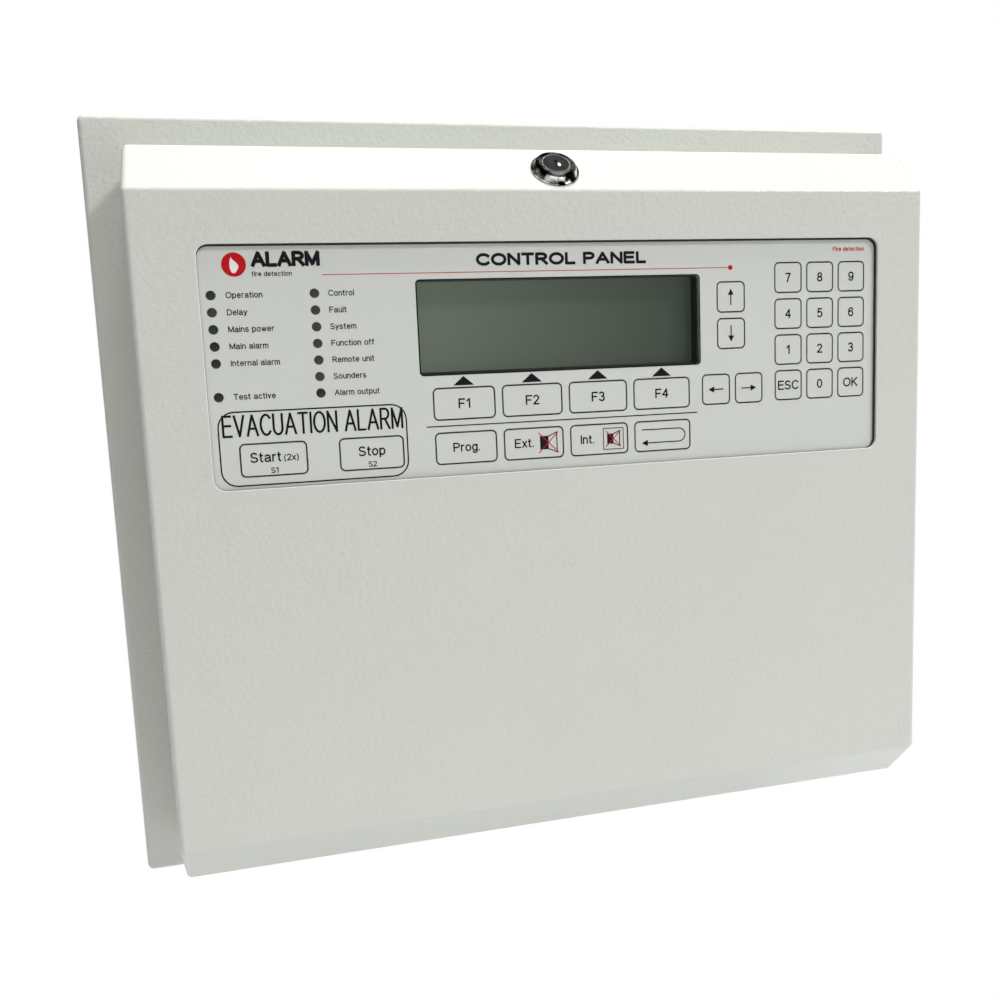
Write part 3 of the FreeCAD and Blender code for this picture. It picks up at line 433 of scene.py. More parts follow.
UP = [(0, 0), (0, 1)]                 # full stem
STEM = [(0, 0), (0, 0.72)]            # stem of a small letter
BOWL = ring(0.24, 0.36, 0.24, 0.36)
LETTERS = {                           # width and strokes, in cap heights
    "A": (0.72, [[(0, 0), (0.36, 1), (0.72, 0)], [(0.14, 0.34), (0.58, 0.34)]]),
    "C": (0.68, [bow(0.38, 0.5, 0.38, 0.5, 42, 318)]),
    "D": (0.64, [[(0, 0), (0, 1), (0.26, 1)] + bow(0.26, 0.5, 0.38, 0.5, 90, -90) + [(0, 0)]]),
    "E": (0.58, [[(0.56, 1), (0, 1), (0, 0), (0.58, 0)], [(0, 0.53), (0.52, 0.53)]]),
    "F": (0.54, [[(0.54, 1), (0, 1), (0, 0)], [(0, 0.5), (0.46, 0.5)]]),
    "I": (0.0, [UP]),
    "K": (0.62, [UP, [(0.58, 1), (0, 0.36)], [(0.19, 0.56), (0.62, 0)]]),
    "L": (0.5, [[(0, 1), (0, 0), (0.5, 0)]]),
    "M": (0.74, [[(0, 0), (0, 1), (0.37, 0.06), (0.74, 1), (0.74, 0)]]),
    "N": (0.62, [[(0, 0), (0, 1), (0.62, 0), (0.62, 1)]]),
    "O": (0.78, [ring(0.39, 0.5, 0.39, 0.5)]),
    "P": (0.58, [[(0, 0), (0, 1), (0.32, 1)] + bow(0.32, 0.74, 0.26, 0.26, 90, -90)
                 + [(0, 0.48)]]),
    "R": (0.62, [[(0, 0), (0, 1), (0.32, 1)] + bow(0.32, 0.745, 0.26, 0.255, 90, -90)
                 + [(0, 0.49)], [(0.3, 0.49), (0.62, 0)]]),
    "S": (0.58, [bow(0.28, 0.75, 0.26, 0.25, 30, 270) + bow(0.28, 0.25, 0.3, 0.25, 90, -155)]),
    "T": (0.64, [[(0, 1), (0.64, 1)], [(0.32, 1), (0.32, 0)]]),
    "U": (0.62, [[(0, 1)] + bow(0.31, 0.3, 0.31, 0.3, 180, 360) + [(0.62, 1)]]),
    "V": (0.66, [[(0, 1), (0.33, 0), (0.66, 1)]]),
    "0": (0.5, [ring(0.25, 0.5, 0.25, 0.5)]),
    "1": (0.3, [[(0.02, 0.76), (0.26, 1), (0.26, 0)]]),
    "2": (0.5, [bow(0.25, 0.73, 0.24, 0.27, 165, -38) + [(0, 0), (0.52, 0)]]),
    "3": (0.5, [bow(0.24, 0.76, 0.22, 0.24, 155, -90) + bow(0.24, 0.26, 0.26, 0.26, 90, -155)]),
    "4": (0.54, [[(0.4, 0), (0.4, 1), (0, 0.3), (0.54, 0.3)]]),
    "5": (0.5, [[(0.46, 1), (0.1, 1), (0.04, 0.5)] + bow(0.25, 0.32, 0.26, 0.32, 130, -150)]),
    "6": (0.5, [bow(0.27, 0.55, 0.27, 0.45, 35, 190), ring(0.25, 0.31, 0.25, 0.31)]),
    "7": (0.5, [[(0, 1), (0.5, 1), (0.3, 0.5), (0.18, 0)]]),
    "8": (0.5, [ring(0.25, 0.76, 0.21, 0.24), ring(0.25, 0.26, 0.25, 0.26)]),
    "9": (0.5, [bow(0.23, 0.45, 0.27, 0.45, -145, 10), ring(0.25, 0.69, 0.25, 0.31)]),
    "a": (0.5, [bow(0.24, 0.52, 0.22, 0.2, 155, 0) + [(0.46, 0.1), (0.5, 0)],
                [(0.46, 0.42), (0.2, 0.38)] + bow(0.2, 0.19, 0.2, 0.19, 90, 270)
                + [(0.34, 0.04), (0.46, 0.18)]]),
    "b": (0.48, [UP, BOWL]),
    "c": (0.46, [bow(0.25, 0.36, 0.25, 0.36, 45, 315)]),
    "d": (0.48, [[(0.48, 0), (0.48, 1)], BOWL]),
    "e": (0.5, [[(0.01, 0.38), (0.49, 0.38)] + bow(0.25, 0.36, 0.24, 0.36, 4, 318)]),
    "f": (0.28, [[(0.1, 0)] + bow(0.25, 0.82, 0.15, 0.18, 180, 90), [(0, 0.7), (0.26, 0.7)]]),
    "g": (0.48, [BOWL, [(0.48, 0.72)] + bow(0.25, -0.06, 0.23, 0.21, 0, -150)]),
    "i": (0.0, [STEM, [(0, 0.94), (0, 0.98)]]),
    "k": (0.44, [UP, [(0.4, 0.72), (0, 0.27)], [(0.15, 0.41), (0.44, 0)]]),
    "l": (0.0, [UP]),
    "m": (0.72, [STEM, [(0, 0.4)] + bow(0.18, 0.5, 0.18, 0.22, 180, 0) + [(0.36, 0)],
                 [(0.36, 0.4)] + bow(0.54, 0.5, 0.18, 0.22, 180, 0) + [(0.72, 0)]]),
    "n": (0.44, [STEM, [(0, 0.4)] + bow(0.22, 0.46, 0.22, 0.26, 180, 0) + [(0.44, 0)]]),
    "o": (0.5, [ring(0.25, 0.36, 0.25, 0.36)]),
    "p": (0.48, [[(0, -0.28), (0, 0.72)], BOWL]),
    "r": (0.24, [STEM, [(0, 0.4)] + bow(0.2, 0.44, 0.2, 0.28, 180, 80)]),
    "s": (0.44, [bow(0.21, 0.54, 0.2, 0.18, 32, 270) + bow(0.21, 0.18, 0.23, 0.18, 90, -152)]),
    "t": (0.26, [[(0.1, 0.95)] + bow(0.24, 0.15, 0.14, 0.15, 180, 275), [(0, 0.7), (0.25, 0.7)]]),
    "u": (0.44, [[(0, 0.72)] + bow(0.22, 0.26, 0.22, 0.26, 180, 360), [(0.44, 0.72), (0.44, 0)]]),
    "v": (0.44, [[(0, 0.72), (0.22, 0), (0.44, 0.72)]]),
    "w": (0.68, [[(0, 0.72), (0.17, 0), (0.34, 0.7), (0.51, 0), (0.68, 0.72)]]),
    "x": (0.42, [[(0, 0.72), (0.42, 0)], [(0.42, 0.72), (0, 0)]]),
    "y": (0.44, [[(0, 0.72), (0.22, 0.02)], [(0.44, 0.72), (0.18, -0.14), (0.04, -0.25)]]),
    ".": (0.0, [[(0, 0), (0, 0.03)]]),
    "(": (0.18, [bow(0.34, 0.38, 0.34, 0.68, 122, 238)]),
    ")": (0.18, [bow(-0.16, 0.38, 0.34, 0.68, 58, -58)]),
}
SPACE, TRACK = 0.42, 0.24             # gap between words, and between letters
LEFT, MIDDLE, RIGHT = 0.0, 0.5, 1.0   # share of a word that lies left of its x
SHARP = math.radians(48)              # turns above this end one stroke and start another
SAME_POINT = 0.001
CAP = 0.4                             # a stroke's end runs on by this share of its width
CLOSED_GAP = 0.05                     # ends closer than this share of the width close it
MITRE_LEAST = 2 / 3
CROSS_LIFT, RUN_LIFT = 0.1, 0.03      # crossing strokes differ a little in height
INK = Vector((0, -0.03, 0))           # one printed layer
PRINT, OVERPRINT = INK * 2, INK * 3


def flat(points):
    """(x, z) pairs to points on the foil's face."""
    return [Vector((x, FOIL_FACE, z)) for x, z in points]


def even_runs(points):
    """A stroke without doubled points, cut where it turns sharply, so its width stays even."""
    path = [points[0]]
    for point in points[1:]:
        if (point - path[-1]).length > SAME_POINT:
            path.append(point)
    runs, run = [], [path[0]]
    for before, corner, after in zip(path, path[1:], path[2:]):
        run.append(corner)
        if (corner - before).angle(after - corner) > SHARP:
            runs.append(run)
            run = [corner]
    return runs + [run + path[-1:]]


def stroke(batch, points, width, depth, finish=0):
    """A flat stroke of even width along points on the foil; it may close on itself."""
    runs = even_runs(points)
    for order, run in enumerate(runs):
        closed = len(runs) == 1 and (run[0] - run[-1]).length < width * CLOSED_GAP
        stroke_run(batch, run[:-1] if closed else run, width, depth * (1 + RUN_LIFT * order),
                   closed, 0.0 if order else CAP, finish)


def stroke_run(batch, path, width, depth, closed, first_cap, finish):
    """One run of a stroke without sharp turns."""
    n = len(path)
    left, right = [], []
    for k, point in enumerate(path):
        before = path[k - 1] if k or closed else None
        after = path[(k + 1) % n] if k < n - 1 or closed else None
        on = (after - point).normalized() if after is not None else (point - before).normalized()
        back = (point - before).normalized() if before is not None else on
        along = (on + back).normalized()
        half = Vector((-along.z, 0, along.x)) * (width / 2 / max(along.dot(on), MITRE_LEAST))
        if before is None:
            point = point - along * (width * first_cap)
        elif after is None:
            point = point + along * (width * CAP)
        left.append(point + half)
        right.append(point - half)
    rows = [left, right, [p + depth for p in left], [p + depth for p in right]]
    faces = []
    for k in range(n if closed else n - 1):
        m = (k + 1) % n
        faces += [(k, m, n + m, n + k), (2 * n + k, 3 * n + k, 3 * n + m, 2 * n + m),
                  (k, 2 * n + k, 2 * n + m, m), (n + k, n + m, 3 * n + m, 3 * n + k)]
    if not closed:
        e = n - 1
        faces += [(0, n, 3 * n, 2 * n), (e, 2 * n + e, 3 * n + e, n + e)]
    batch.solid([p for row in rows for p in row], faces, finish)


def put_text(batch, text, x, z, height, align=LEFT, width=None, weight=0.15, finish=0):
    """Letters on the foil: z is the baseline, width squeezes the word, weight its strokes."""
    spans = [SPACE if letter == " " else LETTERS[letter][0] + TRACK for letter in text]
    natural = (sum(spans) - TRACK + weight) * height
    squeeze = width / natural if width else 1.0
    start = x - natural * squeeze * align
    pen = weight / 2
    for letter, span in zip(text, spans):
        strokes = [] if letter == " " else LETTERS[letter][1]
        for order, path in enumerate(strokes):
            points = flat([(start + (pen + px) * height * squeeze,
                            z + (weight / 2 + pz * (1 - weight)) * height) for px, pz in path])
            stroke(batch, points, weight * height, INK * (2 + CROSS_LIFT * order), finish)
        pen += span


# ---- Print on the foil and its keys -------------------------------------------------
RED, WHITE = 1, 2                            # inks after the black one
RULE, FINE_RULE, FRAME_RULE = 0.5, 0.3, 0.6
KEY_CORNER, KEY_RULE, KEY_INSET = 2.2, 0.42, 0.02
DIGIT = 4.5
ARROW_LENGTH, ARROW_HEAD, ARROW_HALF, ARROW_RULE = 7.8, 2.9, 1.5, 0.55
ARROWS = {"key_up": (0, 1), "key_down": (0, -1), "key_left": (-1, 0), "key_right": (1, 0)}
SIGN_X = 6.9                                 # the loudspeaker, right of a key's middle
SIGN_SIZE = {"key_ext": 9.6, "key_int": 7.4}
SIGN_RULE, CROSS_RULE = 0.45, 0.4
# text, right and up of the key's middle, cap height, align; other keys show their name
LEGENDS = {
    "key_start": [("Start", -9.9, -1.1, 4.4, LEFT), ("(2x)", 4.2, -0.9, 2.9, LEFT),
                  ("S1", 0, -6.0, 2.5, MIDDLE)],
    "key_stop": [("Stop", 0, -1.1, 4.4, MIDDLE), ("S2", 0, -6.0, 2.5, MIDDLE)],
    "key_ext": [("Ext.", -9.2, -1.8, 4.2, LEFT)],
    "key_int": [("Int.", -9.2, -1.8, 4.2, LEFT)],
    "key_prog": [("Prog.", 0, -1.8, 4.2, MIDDLE)],
    "key_return": [], "key_up": [], "key_down": [], "key_left": [], "key_right": [],
}


def line(batch, x0, z0, x1, z1, width, finish=0, depth=PRINT):
    along = Vector((x1 - x0, z1 - z0)).normalized() * (width / 2)
    side = Vector((-along.y, along.x))
    batch.prism(flat([(x0 + side.x, z0 + side.y), (x1 + side.x, z1 + side.y),
                      (x1 - side.x, z1 - side.y), (x0 - side.x, z0 - side.y)]), depth, finish)


def box_line(batch, x0, x1, z0, z1, radius, width):
    """A printed rounded frame whose outer edge is the box given."""
    outer = rounded_outline(x0, x1, z0, z1, FOIL_FACE, radius)
    inner = rounded_outline(x0 + width, x1 - width, z0 + width, z1 - width, FOIL_FACE,
                            max(radius - width, 0.05))
    batch.ring(outer, inner, PRINT)


def arrow(batch, x, z, dx, dz):
    """A straight arrow about a middle point."""
    tip = (x + dx * ARROW_LENGTH / 2, z + dz * ARROW_LENGTH / 2)
    neck = (tip[0] - dx * ARROW_HEAD, tip[1] - dz * ARROW_HEAD)
    tail = (x - dx * ARROW_LENGTH / 2, z - dz * ARROW_LENGTH / 2)
    line(batch, *tail, neck[0] + dx * 0.2, neck[1] + dz * 0.2, ARROW_RULE)
    batch.prism(flat([tip, (neck[0] - dz * ARROW_HALF, neck[1] + dx * ARROW_HALF),
                      (neck[0] + dz * ARROW_HALF, neck[1] - dx * ARROW_HALF)]), PRINT)


def speaker(batch, x, z, size):
    """A crossed-out loudspeaker about a middle point."""
    box, reach, half = 0.32 * size, 0.42 * size, size / 2
    batch.prism(flat([(x - reach, z - box), (x, z - box), (x, z + box), (x - reach, z + box)]),
                PRINT)
    for end in (-1, 1):
        line(batch, x, z + end * 0.30 * size, x + reach, z + end * 0.48 * size, SIGN_RULE)
    line(batch, x + reach, z - half, x + reach, z + half, SIGN_RULE)
    for end in (-half, half):
        line(batch, x - half, z - end, x + half, z + end, CROSS_RULE, RED, OVERPRINT)


def return_arrow(batch, x, z):
    """A line that runs right, turns back round a half circle and ends in an arrow head."""
    left, right, r = x - 10.6, x + 8.3, 3.15
    line(batch, left, z + r, right, z + r, RULE)
    line(batch, left + 2.4, z - r, right, z - r, RULE)
    half_turn = [math.pi * k / 16 for k in range(17)]
    bend = [(right + radius * math.sin(a), z + radius * math.cos(a))
            for radius, angles in ((r + RULE / 2, half_turn), (r - RULE / 2, half_turn[::-1]))
            for a in angles]
    batch.prism(flat(bend), PRINT)
    batch.prism(flat([(left, z - r), (left + 3.0, z - r + 1.5), (left + 3.0, z - r - 1.5)]), PRINT)


def key_print(key):
    """Outline and legend of one key, on the key's own body."""
    low, high = box_mm(key)
    x, z = (low.x + high.x) / 2, (low.z + high.z) / 2
    batch = Batch()
    box_line(batch, low.x + KEY_INSET, high.x - KEY_INSET, low.z + KEY_INSET,
             high.z - KEY_INSET, KEY_CORNER, KEY_RULE)
    name = [(key[len("key_"):].upper(), 0, -DIGIT / 2, DIGIT, MIDDLE)]
    for text, right, up, height, align in LEGENDS.get(key, name):
        put_text(batch, text, x + right, z + up, height, align)
    if key in ARROWS:
        arrow(batch, x, z, *ARROWS[key])
    if key in SIGN_SIZE:
        speaker(batch, x + SIGN_X, z, SIGN_SIZE[key])
    if key == "key_int":
        box_line(batch, x + 1.8, x + 12.0, z - 5.1, z + 5.1, 0.1, 0.35)
    if key == "key_return":
        return_arrow(batch, x, z)
    made = batch.make(key + "_print", [INK_BLACK, INK_RED], key)


LIGHT_TOP, LIGHT_PITCH = 99.9, 7.1           # rows of lights and status words
LABEL_CAP, SMALL_CAP = 2.6, 2.1
LABELS = ((-147.8, ("Operation", "Delay", "Mains power", "Main alarm", "Internal alarm", "",
                    "Test active")),
          (-105.4, ("Control", "Fault", "System", "Function off", "Remote unit", "Sounders",
                    "Alarm output")))
BOLD, THIN = 0.24, 0.10                      # stroke weights of titles
ALARM_FRAME = (-155.4, -74.5, 18.7, 51.1, 7.0)
WINDOW_FRAME = (-67.65, 67.25, 62.55, 104.85, 2.0)
POINTERS, POINTER_FOOT, POINTER_TIP, POINTER_HALF = (-48.1, -16.4, 15.3, 47.0), 57.9, 62.0, 4.8
BADGE, FLAME_FOOT, FLAME_STEPS = (-143.6, 112.4), (-143.8, 108.9), 24


def flame(x, z, size):
    """A plain flame: up its right flank, down its left; x, z is the middle of its foot."""
    outline = []
    for side, belly in ((1, 1.18), (-1, 1.05)):
        flank = []
        for k in range(FLAME_STEPS + 1):
            t = k / FLAME_STEPS
            swell = math.sin(math.pi * min(t * belly, 1.0)) * 0.5 + 0.22 * (1 - t)
            lean = 0.10 * math.sin(5.0 * t) * t
            flank.append((x + size * (side * 0.42 * swell + lean), z + size * t))
        outline += flank[::side]
    return outline


def foil_print():
    """Titles, status words, rules, frames and pointers printed on the fixed foil."""
    batch = Batch()
    for column, words in LABELS:
        for row, word in enumerate(words):
            put_text(batch, word, column, LIGHT_TOP - LIGHT_PITCH * row - LABEL_CAP / 2,
                     LABEL_CAP)
    box_line(batch, *ALARM_FRAME, FRAME_RULE)
    put_text(batch, "EVACUATION ALARM", -114.9, 40.0, 9.6, MIDDLE, width=77.0, weight=THIN)
    put_text(batch, "CONTROL PANEL", 0.3, 110.2, 5.6, MIDDLE, width=81.0, weight=BOLD)
    put_text(batch, "ALARM", -136.6, 111.2, 6.6, width=28.5, weight=BOLD)
    put_text(batch, "fire detection", -136.6, 107.4, SMALL_CAP)
    line(batch, -65.8, 39.9, 65.0, 39.9, RULE)
    for x in POINTERS:
        batch.prism(flat([(x - POINTER_HALF, POINTER_FOOT), (x + POINTER_HALF, POINTER_FOOT),
                          (x, POINTER_TIP)]), PRINT)
    line(batch, -107.5, 107.6, 82.0, 107.6, FINE_RULE, RED)
    put_text(batch, "Fire detection", 154.6, 114.5, SMALL_CAP, RIGHT, weight=0.17, finish=RED)
    for centre, radius, steps in (((83.0, 107.6), 1.15, 24), (BADGE, 5.0, 48)):
        batch.disc(flat([centre])[0], radius, PRINT.length, steps, RED)
    batch.prism(flat(flame(*FLAME_FOOT, 6.8)), OVERPRINT, WHITE)
    box_line(batch, *WINDOW_FRAME, FRAME_RULE)
    made = batch.make("foil_print", [INK_BLACK, INK_RED, INK_WHITE], COVER)


# ---- Light windows, cut-out and lock ------------------------------------------------
LIGHT_RADIUS = 2.0
LIGHT_DOME = ((1.0, -0.75), (1.0, -0.05), (0.96, 0.03), (0.8, 0.09), (0.45, 0.13), (0.05, 0.14))
GREEN, OLIVE, DARK_RED = 0, 1, 2
LIGHT_ROWS = ((-153.8, (GREEN, OLIVE, GREEN, DARK_RED, DARK_RED, None, DARK_RED)),
              (-111.2, (OLIVE, OLIVE, OLIVE, OLIVE, OLIVE, OLIVE, DARK_RED)))
OPENING = (-158.4, 161.0, 17.4, 120.8)       # cut-out in the cover
# the lip is how wide the painted shade strip is at the top and right; the bead is how wide the
# painted highlight is at the bottom and left
OPENING_CORNER, SHADE_LIP, SLIVER, HIGHLIGHT_BEAD = 5.0, 0.9, 0.05, 0.3


def light_windows():
    """Thirteen dark windows, slightly domed, in three tints."""
    batch = Batch()
    dome = [(LIGHT_RADIUS * share, height) for share, height in LIGHT_DOME]
    for x, rows in LIGHT_ROWS:
        for row, tint in enumerate(rows):
            if tint is not None:
                centre = (x, FOIL_FACE, LIGHT_TOP - LIGHT_PITCH * row)
                batch.lathe(dome, centre, FRONT, 32, tint)
    made = batch.make("light_windows", [LENS_GREEN, LENS_OLIVE, LENS_RED], COVER, True)
    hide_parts("led_windows")


def opening_edge():
    """Painted shade and painted highlight round the cut-out: a dark rubber strip behind its top
    and right edge, where shade falls, and a bead of pale paint round it, widest at the lower and
    left edge, where light catches.
    """
    x0, x1, z0, z1 = OPENING
    # painted shade: a black strip darkens the recess under the cut-out's top and right edge
    y = FOIL_FACE - 0.65
    shade_strip = Batch()
    shade_strip.ring(rounded_outline(*OPENING, y, OPENING_CORNER, 8),
              rounded_outline(x0 + SLIVER, x1 - SHADE_LIP, z0 + SLIVER, z1 - SHADE_LIP, y, 4.6, 8),
              (0, 0.6, 0))
    made = shade_strip.make("opening_painted_shade_strip", [RUBBER], COVER)
    # painted highlight: a pale bead brightens the cut edge, widest at the bottom and left
    highlight_bead = Batch()
    highlight_bead.ring(rounded_outline(x0 - HIGHLIGHT_BEAD, x1 + SLIVER, z0 - HIGHLIGHT_BEAD, z1 + SLIVER, COVER_FRONT, 5.2, 8),
              rounded_outline(*OPENING, COVER_FRONT, OPENING_CORNER, 8), (0, -0.04, 0))
    made = highlight_bead.make("opening_highlight_bead", [PAINTED_HIGHLIGHT_EDGE], COVER)


# (radius, height over the slope) of the flange, cone and flat ring, and of the turning head
LOCK_RIM = ((9.0, -0.2), (11.0, 0.0), (11.1, 0.15), (11.1, 0.7), (10.9, 0.9), (10.5, 0.95),
            (10.35, 1.1), (9.45, 3.0), (9.2, 3.25), (8.95, 3.3), (7.45, 3.3), (7.2, 3.22),
            (7.12, 3.0), (7.1, 2.5), (5.7, 2.5), (5.6, 2.4), (5.6, -0.2))
LOCK_HEAD = ((5.5, 2.6), (6.8, 2.6), (6.9, 2.7), (6.9, 3.75), (6.8, 3.9), (6.2, 4.02))
LOCK_RIGHT, LOCK_UP = Vector((1, 0, 0)), Vector((0, -LOCK_OUT.y, LOCK_OUT.z))
LOCK_STEPS, FACE_RADIUS, FACE_HEIGHT = 96, 6.2, 4.0
SLOT_HALF = (0.8, 2.3)
# place and size of the painted shine in the key slot
SHINE_MIDDLE, SHINE_HALF = (1.25, -0.9), (0.8, 1.2)


def on_lock(right, up, height):
    """A point by its place across the lock's face and its height over the slope."""
    return LOCK_SEAT + LOCK_RIGHT * right + LOCK_UP * up + LOCK_OUT * height


def lock_parts():
    """Fixed rim with painted reflections, and a turning head with a painted glint round its edge
    and an open key slot, its floor painted as shade and a painted shine in it.
    """
    rim, edge, face, well = Batch(), Batch(), Batch(), Batch()
    rim.lathe(LOCK_RIM, LOCK_SEAT, LOCK_OUT, LOCK_STEPS, 0, False)
    edge.lathe(LOCK_HEAD, LOCK_SEAT, LOCK_OUT, LOCK_STEPS, 0, False)
    outer, inner = [], []
    for a in turns(LOCK_STEPS):
        across, up = math.cos(a), math.sin(a)
        reach = min(half / max(abs(part), 1e-6) for half, part in zip(SLOT_HALF, (across, up)))
        for loop, radius in ((outer, FACE_RADIUS), (inner, reach)):
            loop.append(on_lock(across * radius, up * radius, FACE_HEIGHT))
    face.ring(outer, inner, -LOCK_OUT * 3.0)
    # painted shade: a black floor in the shallow key slot
    well.prism([on_lock(sx * SLOT_HALF[0], sz * SLOT_HALF[1], FACE_HEIGHT - 0.3)
                for sx, sz in ((-1, -1), (1, -1), (1, 1), (-1, 1))], -LOCK_OUT * 0.4, 0)
    # painted highlight: a small white oval in the slot
    well.prism([on_lock(SHINE_MIDDLE[0] + SHINE_HALF[0] * math.cos(a),
                        SHINE_MIDDLE[1] + SHINE_HALF[1] * math.sin(a), FACE_HEIGHT)
                for a in turns(16)], LOCK_OUT * 0.03, 1)
    for batch, name, finishes, body, smooth in (
            (rim, "lock_rim", [CHROME_PAINTED_REFLECTIONS], COVER, True),
            (edge, "lock_head_edge", [LOCK_PAINTED_GLINT], LOCK, True),
            (face, "lock_head_face", [LOCK_FACE, PAINTED_SLOT_SHADE], LOCK, False),
            (well, "lock_keyway", [PAINTED_SLOT_SHADE, KEYWAY_PAINTED_SHINE], LOCK, False)):
        made = batch.make(name, finishes, body, smooth)


# ---- Electronics behind the cover ---------------------------------------------------
def solids_of(node):
    """Lowest and highest corner of each separate solid of a CAD node, left to right."""
    shape = bmesh.new()
    shape.from_mesh(NODES[node].data)
    bmesh.ops.remove_doubles(shape, verts=shape.verts, dist=1e-6)
    seen, boxes = set(), []
    for first in shape.verts:
        if first in seen:
            continue
        seen.add(first)
        group, rest = [first], [first]
        while rest:
            for edge in rest.pop().link_edges:
                for other in edge.verts:
                    if other not in seen:
                        seen.add(other)
                        group.append(other)
                        rest.append(other)
        corners = [Vector([pick(v.co[i] for v in group) for i in range(3)]) / MM
                   for pick in (min, max)]
        boxes.append(corners)
    shape.free()
    return sorted(boxes, key=lambda box: (round(box[0].x, 1), box[0].z))


def bevelled(batch, low, high, edge, finish=0, rear=False):
    """A block with the edges of its front (-Y) face bevelled, or those of its rear face."""
    (x0, near, z0), (x1, far, z1) = low, high
    step = edge
    if rear:
        near, far, step = far, near, -edge
    points = [(x0, far, z0), (x1, far, z0), (x1, far, z1), (x0, far, z1),
              (x0, near + step, z0), (x1, near + step, z0),
              (x1, near + step, z1), (x0, near + step, z1),
              (x0 + edge, near, z0 + edge), (x1 - edge, near, z0 + edge),
              (x1 - edge, near, z1 - edge), (x0 + edge, near, z1 - edge)]
    faces = [(3, 2, 1, 0), (8, 9, 10, 11)]
    for row in (0, 4):
        for k in range(4):
            m = (k + 1) % 4
            faces.append((row + k, row + m, row + 4 + m, row + 4 + k))
    batch.solid(points, [face[::-1] for face in faces] if rear else faces, finish)


RELAY, CASE, CAPACITOR, CAN, LEGS, MARKS = range(6)
CAPACITOR_DEPTH, RELAY_DEPTH = 18, 10        # parts deeper than this, by kind
LEG_PITCH, LEG_WIDTH, LEG_REACH, LEG_THICK = 1.27, 0.45, 1.4, 0.35
SQUARE_WITHIN = 0.01
SKIN = 0.03                                  # printed marks on a part


def capacitor(batch, low, high):
    """A sleeved can with a crimped foot and a bare top whose scored cross is painted as dark bars
    of shade.
    """
    centre = Vector(((low.x + high.x) / 2, high.y, (low.z + high.z) / 2))
    r, deep = (high.x - low.x) / 2, high.y - low.y
    sleeve = [(r * 0.96, 0.0), (r * 0.96, 1.2), (r * 0.9, 1.8), (r, 2.6), (r, deep - 0.6),
              (r * 0.93, deep - 0.05)]
    batch.lathe(sleeve, centre, FRONT, 40, CAPACITOR)
    batch.lathe([(r * 0.86, deep - 0.4), (r * 0.86, deep), (r * 0.1, deep)], centre, FRONT, 40,
                CAN)
    # painted shade: two black bars stand in for the scored grooves
    for x, z in ((0.12, r * 0.7), (r * 0.7, 0.12)):
        batch.block(centre.x - x, centre.x + x, low.y - 0.04, low.y, centre.z - z, centre.z + z,
                    CASE)


def relay(batch, low, high):
    """A relay case with two printed rules and a plain mark."""
    bevelled(batch, low, high, 0.5, RELAY)
    for x1, z0, z1 in ((high.x - 2, high.z - 3.2, high.z - 2.9),
                       (high.x - 6, high.z - 4.6, high.z - 4.3),
                       (low.x + 7, low.z + 2, low.z + 4.5)):
        batch.block(low.x + 2, x1, low.y - SKIN, low.y, z0, z1, MARKS)


def chip(batch, low, high):
    """A chip with a dot, and legs on its longer sides, or left and right when square."""
    bevelled(batch, low, high, 0.35, CASE)
    wide, tall = high.x - low.x, high.z - low.z
    along_x = wide > tall + SQUARE_WITHIN
    run = wide if along_x else tall
    for k in range(int((run - 1.5) / LEG_PITCH)):
        offset = 1.0 + LEG_PITCH * k
        for end in (0, 1):
            if along_x:
                x, z = low.x + offset, high.z if end else low.z - LEG_REACH
                leg_x, leg_z = LEG_WIDTH, LEG_REACH
            else:
                x, z = high.x if end else low.x - LEG_REACH, low.z + offset
                leg_x, leg_z = LEG_REACH, LEG_WIDTH
            batch.block(x, x + leg_x, high.y - LEG_THICK, high.y, z, z + leg_z, LEGS)
    batch.disc((low.x + 2.2, low.y, high.z - 2.2), 0.6, SKIN, 16, MARKS)


def component_parts():
    """Relays, legged chips and sleeved capacitors in the places of the plain blocks."""
    batch = Batch()
    for low, high in solids_of("board_components"):
        deep = high.y - low.y
        if deep > CAPACITOR_DEPTH:
            capacitor(batch, low, high)
        elif deep > RELAY_DEPTH:
            relay(batch, low, high)
        else:
            chip(batch, low, high)
    made = batch.make("board_component_cases", [RELAY_BLUE, CHIP, SLEEVE, CAN_TOP, TIN, SILK],
                      PANEL)
    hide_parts("board_components")


PART_SIZES = ((0.6, (2.0, 1.25, 0.6)), (0.85, (3.2, 1.6, 0.8)), (1.0, (3.0, 2.6, 1.2)))
CERAMIC_SHARE = 0.45
BOARD_GRID, BOARD_EDGE, PART_GAP = 2.54, 3.0, 0.7
TRIES = 20                            # random places tried for each part wanted
SOLDERED = 0.72                       # where the end caps start, from the middle
TRACK_THICK, TRACK_HALF, TRACK_EDGE = 0.05, 0.16, 2.0


def clear_of(boxes, x0, x1, z0, z1):
    return all(x1 < low.x or x0 > high.x or z1 < low.z or z0 > high.z for low, high in boxes)


